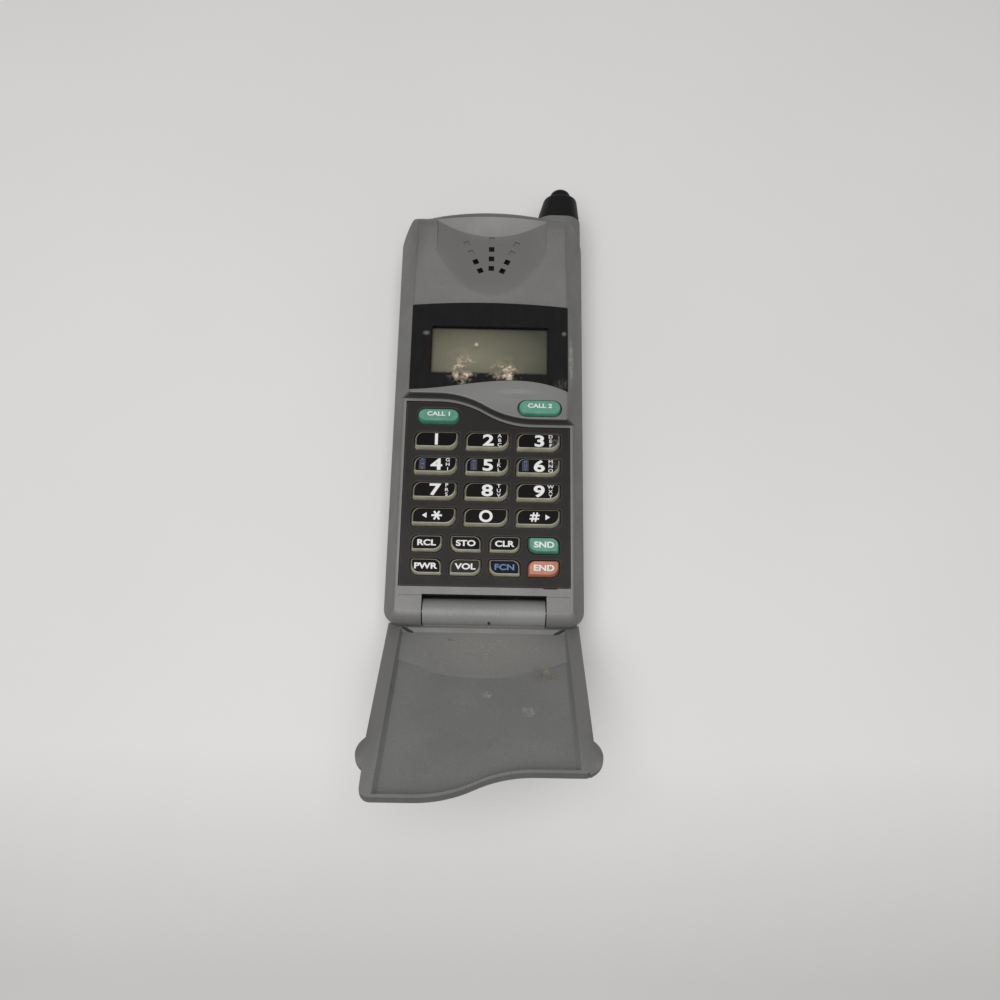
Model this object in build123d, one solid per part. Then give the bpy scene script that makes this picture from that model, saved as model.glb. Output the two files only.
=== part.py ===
from build123d import *
import math
import os

# A slim cellular handset with a hinged keypad cover, a pull-out aerial and a
# slide-off battery. While it is modelled, Y is measured from the cover's hinge
# axis towards the earpiece, Z from the battery's flat back towards the keys.
# The last section moves every piece to the row frame, whose origin is the
# centre of the battery's back. All sizes are in millimetres.

# ---------------------------------------------------------------- handset
body_width = 58.0          # across the waist, the widest line of the mouldings
waist_low_z = 13.0         # the waist is a short upright band between these two
waist_high_z = 14.8
face_width = 46.9          # flat front face, crease to crease, at the display
back_width = 53.0          # across the flat of the back
parting_z = 12.4           # seam between the two housings
deck_z = 22.0              # keypad deck
display_z = 26.4           # front face round the display
crown_z = 27.6             # front face above the earpiece
front_end_y = -4.0         # end of the handset, below the hinge
crest_y = 125.4            # top of the arched end
shoulder_drop = 2.5        # from the crest of the arch to the two shoulders
arch_inset = 13.0          # ends of the arch, in from the waist
shoulder_inset = 9.0       # where the shoulders turn towards the arch
low_corner_radius = 5.5
top_corner_radius = 6.4
crown_radius = 6.0         # rounding from the face down over the top end
back_end_radius = 4.5
crease_radius = 1.2        # along the face's long edges
back_edge_radius = 3.0
waist_radius = 3.0
neck_radius = 5.0          # hollow between a shoulder and the arch
crown_low_y = 94.3         # the face starts to rise here
crown_high_y = 111.5
housing_wall = 1.8
head_wall = 6.0            # top end, thick enough for the scoop's wall and the aerial's collar
end_wall = 6.8             # low end, round the connector and the screws
inside_radius = 5.0
floor_thickness = 1.5
face_wall = 1.5
piece_gap = 0.15           # between neighbouring fixed pieces

# The wave: the step between display and keypad, shared by the cover's end
wave_x = -0.8              # middle of the wave
wave_run = 14.0            # half its length
wave_drop = 7.6            # from the left level to the right level
step_y = 63.0              # left level of the step's wall
lip_width = 0.95           # deck showing between the step and the bezel
step_edge_radius = 0.6

# ---------------------------------------------------------------- hinge
hinge_z = 18.0
barrel_radius = 3.7
root_high_y = 1.2          # far side of the neck between barrel and plate
barrel_length = 34.6
barrel_end_gap = 0.3
barrel_back_gap = 0.8
trough_drop = 4.9          # hinge axis down to the floor of the trough
trough_wall = 1.5
shaft_radius = 1.2
shaft_bite = 4.2           # how far the shaft goes into each lug
bush_length = 5.0
bush_wall = 0.8
shaft_play = 0.05          # radial, where pieces turn on the shaft
fixed_play = 0.01          # radial, where a round piece is held still
flip_open = 133.5          # degrees from shut to the rest position

# ---------------------------------------------------------------- keypad cover
flip_gap = 1.7             # between the cover's end and the step, when shut
flip_lift = 0.15           # between the cover's rim and the deck, when shut
flip_side_inset = 1.7      # in from the handset's waist, each side
flip_end_inset = 2.5       # the same at the cover's far end
flip_near_y = 0.55         # the cover's edge at the hinge, between the lugs
flip_tongues = ((4.9, 0.35), (8.5, -0.1), (6.2, -1.0), (4.6, -1.0))
flip_thickness = 3.0
flip_cover_thickness = 1.0
flip_clear = 0.25          # open cover to the handset's end
cover_edge = 1.9           # rounding of the cover's outer edges
end_left_radius = 2.6
end_right_radius = 2.2
dish_rim = 0.9             # flat edge at the cover's end
dish_side_rim = 2.8        # and along its sides
dish_near_y = 2.15         # the dish starts here
dish_slope = 1.0           # how far the dish's wall leans in
shelf_depth = 1.05         # depth near the hinge
dish_depth = 1.5           # depth beyond the arc
dish_arc_y = 20.0          # the arc's highest point
dish_arc_sag = 6.5         # and its fall at the sides
arc_slope = 2.0
ear_low_y = 43.4
ear_high_y = 53.1
ear_reach = 2.2
ear_step = 0.1             # ears lie this much below the rim
ear_thickness = 1.1
slit = (3.5, 0.55, 1.6)    # relief slit behind each tongue: length, width, depth
slit_place = (21.7, 2.5)
slit_turn = 18.0

# ---------------------------------------------------------------- keypad
bezel_side_inset = 4.7     # in from the handset's waist, each side
bezel_low_y = 6.8
bezel_thickness = 1.6
bezel_corner_radius = 1.0
bezel_notch = (16.6, 20.6, 0.45)   # pry notch at its lower edge
lug_line = (4.05, 0.25, 0.2)       # shallow line across each lug: place, width, depth
ledge_width = 1.3
ledge_thickness = 1.2
key_rise = 1.4             # key tops above the deck
function_rise = 0.95       # the same for the small keys, which lie under the cover's shelf
key_gap = 0.25
key_draft = 8.0            # degrees
key_travel = 0.8
key_flange = 0.45
flange_thickness = 0.9
number_key = (12.9, 5.2)
function_key = (8.9, 4.55)
call_key = (12.6, 4.7)
leaf_round = 2.05
leaf_tight = 0.75
number_pitch = (15.0, 7.65)
number_top_y = 49.75
function_pitch = (11.12, 6.7)
function_top_y = 18.9
call_one = (-14.65, 57.5)
call_two = (15.1, 58.85)
call_two_rise = 1.2        # top of the second call key above the display face
key_edge_chamfer = 0.25
mat_thickness = 0.8
mat_clear = 0.85           # key flange above the mat
mat_hole_gap = 0.35
post_size = (4.4, 2.6)
pad_thickness = 0.1
pad_size = (5.2, 3.2)

# ---------------------------------------------------------------- boards
board_z = 14.6             # underside of the logic board
board_thickness = 1.4
board_gap = 0.5            # boards to the hollow's sides
board_low_y = 8.0
board_high_y = 112.0
board_notch_y = 46.0
rf_board_z = 10.9
rf_board_thickness = 1.0
rf_board_high_y = 85.0
rf_board_inset = 1.2       # radio board, in from the logic board's edges
can_margin = 1.6
board_post_radius = 2.2

# ---------------------------------------------------------------- display
lens_side_inset = 5.7      # in from the handset's waist, each side
lens_low_y = 64.3
lens_high_y = 91.3
lens_arch = 1.15
lens_thickness = 1.2
mask_thickness = 0.2
view_width = 34.8
view_low_y = 69.7
view_height = 14.9
display_well = (44.6, 68.6, 90.4)   # width, low and high end
lcd_frame_wall = 1.0
lcd_thickness = 2.0
light_guide_thickness = 1.6
strip_width = 1.3
guide_ledge = 1.2

# ---------------------------------------------------------------- earpiece
scoop_low_y = 95.1         # lowest point of the scoop's outline
scoop_turn_y = 115.9       # where its floor turns up into the wall
scoop_fall = 3.5           # degrees that the floor falls towards the wall
scoop_rise = 19.4          # degrees that the wall rises
scoop_radius = 80.0        # of the floor, across
scoop_half = 16.9
ear_hole = 1.7
ear_hole_pitch = 3.4
ear_hole_low_y = 104.5
ear_fan_low = (3.4, 103.6)
ear_fan_angle = 25.0
blind_depth = 0.3
speaker_y = 106.5
speaker_radius = 8.0
speaker_well_z = 23.0
gasket_thickness = 0.6
speaker_thickness = 3.4
magnet_radius = 5.0

# ---------------------------------------------------------------- aerial
aerial_inset = 6.9         # aerial's axis, in from the handset's waist
boss_inset = 7.75          # middle of the boss
aerial_z = 15.0
mast_radius = 1.0
mast_low_y = 50.0
boss_width = 14.4
boss_depth = 12.0
boss_corner = 5.2
boss_low_y = 96.0          # the boss starts inside the head
boss_full_y = 116.0        # and is full size from here
boss_start = (7.0, 7.0)
boss_high_y = 126.8
collar_high_y = 135.9
collar_top = (10.6, 9.4)
collar_top_corner = 4.4
collar_edge_radius = 1.4
collar_step = 0.15         # collar, in from the boss
spigot_radius = 2.4
spigot_gap = 0.4           # the drawn-out aerial's stop to the collar's spigot
knob_radius = 3.4
knob_dome = 2.3            # rounding of the knob's end
knob_low_y = 133.5
knob_high_y = 139.3
knob_seat_gap = 0.2
aerial_gap = 0.4           # round the aerial's stop, inside the handset
stop_radius = 1.7
stop_length = 2.0
aerial_travel = 66.0

# ---------------------------------------------------------------- battery
battery_low_y = -4.0
battery_high_y = 96.0
battery_top_z = 6.8
battery_gap = 0.2          # battery to the rear housing's floor
battery_end_gap = 0.4
battery_wall = 1.2
battery_lid_thickness = 1.2
battery_side_inset = 1.3   # in from the handset's waist, each side
battery_lean = 4.2         # the back's edges lean in by this much
battery_edge_z = 3.4       # where they start to lean
battery_corner = 6.0
battery_edge_round = 2.5
cell_gap = 0.3
hook_x = 20.0
hook_ys = (14.0, 72.0)
hook_width = 3.0
hook_stem = 3.0
hook_toe = 3.4
hook_thickness = 0.9
battery_travel = 4.0
contact_y = 40.0
contact_pitch = 4.0
contact_width = 1.8

# ---------------------------------------------------------------- latch
latch_ramp = 0.5           # rise of the tooth for each millimetre the battery slides
tooth_y = 88.0
tooth_flat = 1.0
tooth_depth = 2.0
latch_width = 6.0
latch_gap = 0.35
latch_arm = 1.5
button_width = 12.0
button_y = (98.3, 105.3)
button_thickness = 2.0
head_back_z = 0.6          # back of the head, just clear of what the battery stands on
head_floor_z = 2.6
latch_ear = 1.4
well_wall = 1.0

# ---------------------------------------------------------------- small parts
screw_radius = 0.95
screw_head_radius = 1.9
screw_head_height = 1.2
screw_length = 8.0
screw_boss_radius = 2.5
screw_seat_z = 8.4         # underside of the screws' heads
low_screw = (21.0, 0.4)
high_screws = ((-20.5, 116.6), (12.4, 118.4))
connector_width = 16.0
connector_height = 2.6
connector_depth = 6.0
mic_radius = 2.6
mic_x = 9.0
ringer_radius = 6.4
ringer_place = (-12.5, 111.8)

# ---------------------------------------------------------------- worked out
half_body = body_width / 2
lean = (body_width - face_width) / 2 / (display_z - waist_high_z)
flip_width = body_width - 2 * flip_side_inset
flip_end_width = body_width - 2 * flip_end_inset
bezel_width = body_width - 2 * bezel_side_inset
lens_half = half_body - lens_side_inset
aerial_x = half_body - aerial_inset
boss_x = half_body - boss_inset
deck_end_radius = deck_z - hinge_z   # the lugs are round about the hinge
spigot_low_y = mast_low_y + stop_length + aerial_travel + spigot_gap
battery_width = body_width - 2 * battery_side_inset
battery_flat = battery_width - 2 * battery_lean
hollow_half = half_body - housing_wall - 1.3
board_width = 2 * (hollow_half - board_gap) - 1.8
board_aerial_x = aerial_x - stop_radius - aerial_gap - piece_gap
scoop_low_z = display_z + (crown_z - display_z) * (scoop_low_y - crown_low_y) / (crown_high_y - crown_low_y)
scoop_turn_z = scoop_low_z - (scoop_turn_y - scoop_low_y) * math.tan(math.radians(scoop_fall))
floor_z = battery_top_z + battery_gap
inside_floor_z = floor_z + floor_thickness
head_y = battery_high_y + battery_end_gap
board_top_z = board_z + board_thickness
ledge_z = deck_z - bezel_thickness - ledge_thickness
mat_top_z = deck_z - bezel_thickness - flange_thickness - piece_gap - mat_clear
key_low_z = board_top_z + pad_thickness + key_travel + 0.05
barrel_back_y = barrel_radius + barrel_back_gap
lens_seat_z = display_z - lens_thickness - mask_thickness - piece_gap / 2
latch_travel = battery_travel * latch_ramp
latch_arm_z = floor_z + 0.1
reach = 400.0              # longer than any piece, for cuts that go right through


def block(x_low, x_high, y_low, y_high, z_low, z_high):
    """A box given by its six faces."""
    size = (x_high - x_low, y_high - y_low, z_high - z_low)
    middle = ((x_low + x_high) / 2, (y_low + y_high) / 2, (z_low + z_high) / 2)
    return Pos(*middle) * Box(*size)


def upright(face, z_low, z_high):
    """A flat outline raised between two heights."""
    return extrude(Pos(0, 0, z_low) * face, amount=z_high - z_low, dir=(0, 0, 1))


def post(x, y, radius, z_low, z_high):
    """A round column."""
    return Pos(x, y, (z_low + z_high) / 2) * Cylinder(radius, z_high - z_low)


def along_y(x, z, radius, y_low, y_high):
    """A round bar that runs along the aerial's direction."""
    bar = Rot(-90, 0, 0) * Cylinder(radius, y_high - y_low)
    return Pos(x, (y_low + y_high) / 2, z) * bar


def along_x(radius, x_low, x_high):
    """A round bar on the hinge axis."""
    bar = Rot(0, 90, 0) * Cylinder(radius, x_high - x_low)
    return Pos((x_low + x_high) / 2, 0, hinge_z) * bar


def side_profile(points):
    """A flat outline in Y and Z, from its corners."""
    return Plane.YZ * Polygon(*points, align=None)


def across(face, width):
    """A side outline carried equally to both sides of the middle."""
    return extrude(face, amount=width / 2, both=True)


def corners_near(shape, points, radius):
    """Rounds the outline's corners nearest to the given points."""
    chosen = [min(shape.vertices(), key=lambda v: (v.X - x) ** 2 + (v.Y - y) ** 2) for x, y in points]
    return fillet(chosen, radius=radius)


def wave_line(x_low, x_high, left_y):
    """The wave: level, two equal arcs tangent to each other, then level again."""
    middle = (wave_x, left_y - wave_drop / 2)
    start = (wave_x - wave_run, left_y)
    end = (wave_x + wave_run, left_y - wave_drop)
    return [
        Line((x_low, left_y), start),
        TangentArc(start, middle, tangent=(1, 0)),
        TangentArc(end, middle, tangent=(-1, 0)),
        Line(end, (x_high, end[1])),
    ]


def under_wave(half_width, left_y, low_y):
    """The area below the wave, with straight sides and a straight lower edge."""
    right_y = left_y - wave_drop
    rest = Polyline(
        (half_width, right_y), (half_width, low_y), (-half_width, low_y), (-half_width, left_y)
    )
    return make_face([*wave_line(-half_width, half_width, left_y), *rest.edges()])


# ================================================================ handset body

def plan_outline():
    """The handset seen from the front: rounded low corners, shoulders and an arched top."""
    shoulder = crest_y - shoulder_drop
    shoulder_half = half_body - shoulder_inset
    arch_half = half_body - arch_inset
    arch_end = crest_y - shoulder_drop * 0.62
    low = front_end_y
    arch = ThreePointArc((arch_half, arch_end), (0, crest_y), (-arch_half, arch_end))
    rest = Polyline(
        (-arch_half, arch_end), (-shoulder_half, shoulder), (-half_body, shoulder), (-half_body, low),
        (half_body, low), (half_body, shoulder), (shoulder_half, shoulder), (arch_half, arch_end),
    )
    face = make_face([arch, *rest.edges()])
    necks = [(-shoulder_half, shoulder), (shoulder_half, shoulder)]
    face = corners_near(face, [(-half_body, shoulder), (half_body, shoulder)], top_corner_radius)
    face = corners_near(face, necks, neck_radius)
    return corners_near(face, [(-half_body, low), (half_body, low)], low_corner_radius)


def section_outline(top_z):
    """The handset cut across: an upright waist, sides that lean in to the face and to the back."""
    top_half = half_body - lean * (top_z - waist_high_z)
    points = [
        (-back_width / 2, head_back_z), (back_width / 2, head_back_z),
        (half_body, waist_low_z), (half_body, waist_high_z),
        (top_half, top_z), (-top_half, top_z),
        (-half_body, waist_high_z), (-half_body, waist_low_z),
    ]
    face = Polygon(*points, align=None)
    waist = [(side * half_body, z) for side in (-1, 1) for z in (waist_low_z, waist_high_z)]
    face = corners_near(face, waist, waist_radius)
    face = corners_near(face, [(-back_width / 2, head_back_z), (back_width / 2, head_back_z)], back_edge_radius)
    return corners_near(face, [(-top_half, top_z), (top_half, top_z)], crease_radius)


def section_at(top_z, y):
    """The cross-section for one height of the face, stood up at its place along the handset."""
    return Pos(0, y, 0) * (Plane.XZ * section_outline(top_z))


def bar(top_z, y_low, y_high):
    """A length of the handset with one height of face."""
    return extrude(section_at(top_z, y_low), amount=y_high - y_low, dir=(0, 1, 0))


def rounded_plan(top_z, top_radius):
    """The outline raised to a height, with its upper and lower edges rounded all the way round."""
    raised = upright(plan_outline(), head_back_z, top_z)
    raised = fillet(raised.faces().sort_by(Axis.Z)[-1].edges(), radius=top_radius)
    return fillet(raised.faces().sort_by(Axis.Z)[0].edges(), radius=back_end_radius)


def aerial_boss():
    """The swelling at the top right corner that carries the aerial; it grows out of the head's side."""
    start = Plane((boss_x, boss_low_y, aerial_z), x_dir=(1, 0, 0), z_dir=(0, 1, 0))
    full = Plane((boss_x, boss_full_y, aerial_z), x_dir=(1, 0, 0), z_dir=(0, 1, 0))
    face = full * RectangleRounded(boss_width, boss_depth, boss_corner)
    root = start * RectangleRounded(*boss_start, min(boss_start) * 0.4)
    return loft([root, face]) + extrude(face, amount=boss_high_y - boss_full_y, dir=(0, 1, 0))


def handset_blank():
    """Both housings as one solid, before the seam, the hollow and the openings."""
    keypad_side = upright(under_wave(2 * body_width, step_y, front_end_y - 10), -5, crown_z + 5)
    start = step_y - wave_drop - 5
    face = bar(display_z, start, crown_low_y)
    face += loft([section_at(display_z, crown_low_y), section_at(crown_z, crown_high_y)], ruled=True)
    face += bar(crown_z, crown_high_y, crest_y + 5)
    face = (face & rounded_plan(crown_z, crown_radius)) - keypad_side
    deck = bar(deck_z, front_end_y - 5, step_y + 5) & keypad_side & rounded_plan(deck_z, deck_end_radius)
    blank = face + deck
    edges = [edge for edge in blank.edges() if on_step(edge)]
    blank = fillet(edges, radius=step_edge_radius)
    blank -= block(-half_body - 1, half_body + 1, front_end_y - 5, head_y, -5, floor_z)
    return blank + aerial_boss() - opened(cover_stop()) - cover_sweep()


def on_step(edge):
    """Whether an edge is the upper edge of the wave-shaped step."""
    box = edge.bounding_box()
    level = abs(box.min.Z - display_z) < 0.01 and abs(box.max.Z - display_z) < 0.01
    return level and box.max.Y < step_y + 0.1 and box.max.X - box.min.X > 2


def lens_outline(inset=0.0):
    """The display window: arched top, straight sides, a lower edge that swells to the right of the middle."""
    half = lens_half - inset
    low = lens_low_y + inset
    high = lens_high_y - inset
    top = ThreePointArc((half, high), (0, high + lens_arch), (-half, high))
    swell = Spline((-half, low), (-half * 0.35, low + 1.75), (half * 0.32, low + 3.35), (half, low))
    return make_face([top, Line((-half, high), (-half, low)), swell, Line((half, low), (half, high))])


# ================================================================ keys

def leaf(width, height, mirrored=False):
    """A key's outline: two opposite corners well rounded, the other two tight."""
    face = Rectangle(width, height)
    turn = -1 if mirrored else 1
    soft = [(-turn * width / 2, height / 2), (turn * width / 2, -height / 2)]
    tight = [(turn * width / 2, height / 2), (-turn * width / 2, -height / 2)]
    face = corners_near(face, soft, leaf_round)
    return corners_near(face, tight, leaf_tight)


def key_layout():
    """Every key: its name, middle, size and the form of its outline."""
    layout = []
    for row, names in enumerate((("1", "2", "3"), ("4", "5", "6"), ("7", "8", "9"), ("star", "0", "hash"))):
        for column, name in enumerate(names):
            place = ((column - 1) * number_pitch[0], number_top_y - row * number_pitch[1])
            layout.append((name, place, number_key, "leaf"))
    forms = (("leaf", "mirror", "leaf", "mirror"), ("mirror", "leaf", "mirror", "leaf"))
    for row, names in enumerate((("rcl", "sto", "clr", "snd"), ("pwr", "vol", "fcn", "end"))):
        for column, name in enumerate(names):
            place = ((column - 1.5) * function_pitch[0], function_top_y - row * function_pitch[1])
            layout.append((name, place, function_key, forms[row][column]))
    layout.append(("call_1", call_one, call_key, "slot"))
    layout.append(("call_2", call_two, call_key, "slot"))
    return layout


def key_outline(place, size, form, grow=0.0):
    """One key's outline at its place, grown for a clearance hole."""
    width, height = size[0] + 2 * grow, size[1] + 2 * grow
    face = SlotOverall(width, height) if form == "slot" else leaf(width, height, form == "mirror")
    return Pos(*place, 0) * face


def key_solid(name, place, size, form):
    """A silicone key: a tapered cap, a flange that stops it under the bezel and a post to its contact."""
    raised = name == "call_2"
    top_z = deck_z + (function_rise if size == function_key else key_rise)
    if raised:
        top_z = display_z + call_two_rise
    flange_top_z = deck_z - bezel_thickness - piece_gap
    flange_low_z = flange_top_z - flange_thickness
    cap = extrude(
        Pos(0, 0, flange_top_z) * key_outline(place, size, form),
        amount=top_z - flange_top_z, dir=(0, 0, 1), taper=key_draft / 3 if raised else key_draft,
    )
    cap = chamfer(cap.faces().sort_by(Axis.Z)[-1].edges(), length=key_edge_chamfer)
    x, y = place
    half, depth = size[0] / 2 + key_flange, size[1] / 2 + key_flange
    if form == "slot":
        flange = upright(key_outline(place, size, form, key_flange), flange_low_z, flange_top_z)
    else:
        flange = block(x - half, x + half, y - depth, y + depth, flange_low_z, flange_top_z)
    if raised:
        flange -= block(x - half, x + half, y - depth - 1, y - size[1] / 2, 0, crown_z)
    stem = block(
        x - post_size[0] / 2, x + post_size[0] / 2, y - post_size[1] / 2, y + post_size[1] / 2,
        key_low_z, flange_low_z,
    )
    return cap + flange + stem


def keypad_bezel():
    """The textured plate round the keys, with its upper edge on the wave."""
    left_y = step_y - lip_width
    face = under_wave(bezel_width / 2, left_y, bezel_low_y)
    half = bezel_width / 2
    low = [(-half, bezel_low_y), (half, bezel_low_y)]
    high = [(-half, left_y), (half, left_y - wave_drop)]
    face = corners_near(face, low + high, bezel_corner_radius)
    plate = upright(face, deck_z - bezel_thickness, deck_z)
    for name, place, size, form in key_layout():
        if name != "call_2":
            plate -= upright(key_outline(place, size, form, key_gap), ledge_z, deck_z + 1)
    return plate


def keypad_mat():
    """The silicone sheet that seals the keys; each post passes through a hole of its own."""
    low_z = mat_top_z - mat_thickness
    half = board_width / 2 - 1
    face = under_wave(half, step_y - lip_width - ledge_width - 0.2, bezel_low_y + ledge_width + 0.4)
    x, y = call_two
    width, height = call_key
    sheet = upright(face, low_z, mat_top_z)
    sheet += block(x - width / 2, x + width / 2, y - 2 * height, y + height / 2 + 0.8, low_z, mat_top_z)
    for name, (x, y), size, form in key_layout():
        half_x, half_y = (value / 2 + mat_hole_gap for value in post_size)
        sheet -= block(x - half_x, x + half_x, y - half_y, y + half_y, low_z - 1, mat_top_z + 1)
    return sheet


def contact_pads():
    """The gold pad under each key, on the logic board."""
    pads = []
    for name, (x, y), size, form in key_layout():
        half_x, half_y = (value / 2 for value in pad_size)
        pads.append(block(x - half_x, x + half_x, y - half_y, y + half_y, board_top_z, board_top_z + pad_thickness))
    return Compound(pads)


# ================================================================ front housing

def hinge_trough():
    """The opening for the cover's barrel: a round-floored trough, open at the handset's end."""
    half = barrel_length / 2 + barrel_end_gap
    floor = hinge_z - trough_drop
    points = [
        (front_end_y - 5, floor), (barrel_back_y - trough_wall, floor), (barrel_back_y, floor + trough_wall),
        (barrel_back_y, deck_z + 1), (front_end_y - 5, deck_z + 1),
    ]
    return across(side_profile(points), 2 * half)


def inner_hollow():
    """The space for the boards inside the front housing, stepped to follow its sides."""
    low_y = barrel_back_y + trough_wall
    wide = block(-hollow_half, hollow_half, low_y, crest_y - head_wall, parting_z, waist_high_z + 2.6)
    wide = fillet(wide.edges().filter_by(Axis.Z).sort_by(Axis.Y)[-2:], radius=inside_radius)
    key_half = bezel_width / 2 - 0.3
    under_deck = block(-key_half, key_half, low_y, step_y - 1, parting_z, ledge_z)
    well_width, well_low, well_high = display_well
    display_space = block(-well_width / 2, well_width / 2, well_low, well_high, parting_z, display_z)
    speaker_space = post(0, speaker_y, speaker_radius + 0.3, parting_z, speaker_well_z)
    return wide + under_deck + display_space + speaker_space


def scoop(drop=0.0):
    """What is taken out for the ear: a hollow floor that falls away and a flat wall that rises to the rim."""
    length = 2 * (crest_y - scoop_low_y)
    round_bar = Rot(-90, 0, 0) * Cylinder(scoop_radius, length)
    floor = Rot(-scoop_fall, 0, 0) * (Pos(0, 0, scoop_radius) * round_bar)
    floor = Pos(0, scoop_low_y, scoop_low_z - drop) * floor
    below = block(-reach, reach, -reach, reach, -reach, 0)
    below = Pos(0, scoop_turn_y, scoop_turn_z - drop) * (Rot(scoop_rise, 0, 0) * below)
    sides = block(-scoop_half, scoop_half, scoop_low_y - 10, crest_y + 5, 20, crown_z + 5)
    return (floor & sides) - below


def ear_holes():
    """The fan of square earpiece holes: three open in the middle and two on each side, the outer ones blind."""
    columns = [
        (0.0, ear_hole_low_y, 0.0, 3),
        (-ear_fan_low[0], ear_fan_low[1], ear_fan_angle, 2),
        (ear_fan_low[0], ear_fan_low[1], -ear_fan_angle, 2),
    ]
    dimple = scoop(blind_depth)
    cuts = []
    for x, y, angle, open_count in columns:
        for step in range(4):
            away = step * ear_hole_pitch
            place = (x - away * math.sin(math.radians(angle)), y + away * math.cos(math.radians(angle)))
            square = Rot(0, 0, angle) * Rectangle(ear_hole, ear_hole)
            hole = Pos(*place, 0) * upright(square, speaker_well_z - 1, crown_z + 3)
            cuts.append(hole if step < open_count else hole & dimple)
    return cuts


def front_housing(blank):
    """The moulded front: keypad deck and hinge lugs, the wave step, the display seat and the earpiece scoop."""
    shell = blank & block(-reach, reach, -reach, reach, parting_z, reach)
    shell -= inner_hollow()
    shell -= hinge_trough()

    # Seat for the bezel, with the ledge that it rests on
    left_y = step_y - lip_width
    seat = under_wave(bezel_width / 2 + piece_gap, left_y + piece_gap, bezel_low_y - piece_gap)
    shell -= upright(seat, deck_z - bezel_thickness, deck_z + 1)
    opening = under_wave(
        bezel_width / 2 - ledge_width, left_y - ledge_width, bezel_low_y + ledge_width
    )
    shell -= upright(opening, parting_z, deck_z)

    left, right, depth = bezel_notch
    shell -= block(left, right, bezel_low_y - depth, bezel_low_y, deck_z - bezel_thickness, deck_z + 1)
    line_y, line_width, line_depth = lug_line
    for side in (-1, 1):
        inner, outer = sorted((side * (barrel_length / 2), side * (bezel_width / 2)))
        shell -= block(inner, outer, line_y, line_y + line_width, deck_z - line_depth, deck_z + 1)

    # Seat for the display lens and its mask
    shell -= upright(lens_outline(-piece_gap), lens_seat_z, crown_z + 1)

    # Shaft and flange pocket of the key that stands in the wave
    x, y = call_two
    shell -= upright(key_outline(call_two, call_key, "slot", key_gap), parting_z, crown_z)
    half_x, half_y = call_key[0] / 2 + key_flange + key_gap, call_key[1] / 2 + key_flange + key_gap
    pocket_top_z = deck_z - bezel_thickness + piece_gap
    shell -= block(x - half_x, x + half_x, y - call_key[1] / 2 - key_gap, y + half_y, parting_z, pocket_top_z)

    # Scoop and sound holes of the earpiece
    shell -= scoop()
    for cut in ear_holes():
        shell -= cut

    # Bosses for the screws, the aerial's spigot and the hinge shaft
    for x, y in high_screws:
        shell += post(x, y, screw_boss_radius, parting_z, display_z - face_wall)
    screws = [(-low_screw[0], low_screw[1]), low_screw, *high_screws]
    for x, y in screws:
        shell -= post(x, y, screw_radius, parting_z - 1, parting_z + screw_length - 4)
    shell -= along_y(aerial_x, aerial_z, spigot_radius + fixed_play, spigot_low_y, boss_high_y + 1)
    shell -= along_y(aerial_x, aerial_z, stop_radius + aerial_gap, mast_low_y - 1, spigot_low_y + 0.1)
    shaft_half = barrel_length / 2 + barrel_end_gap + shaft_bite
    shell -= along_x(shaft_radius + fixed_play, -shaft_half, shaft_half)

    # Sound way from the microphone into the trough
    shell -= along_y(mic_x, board_top_z - 1.2, 0.8, 0, barrel_back_y + trough_wall + 0.2)
    return shell


# ================================================================ rear housing

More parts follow.
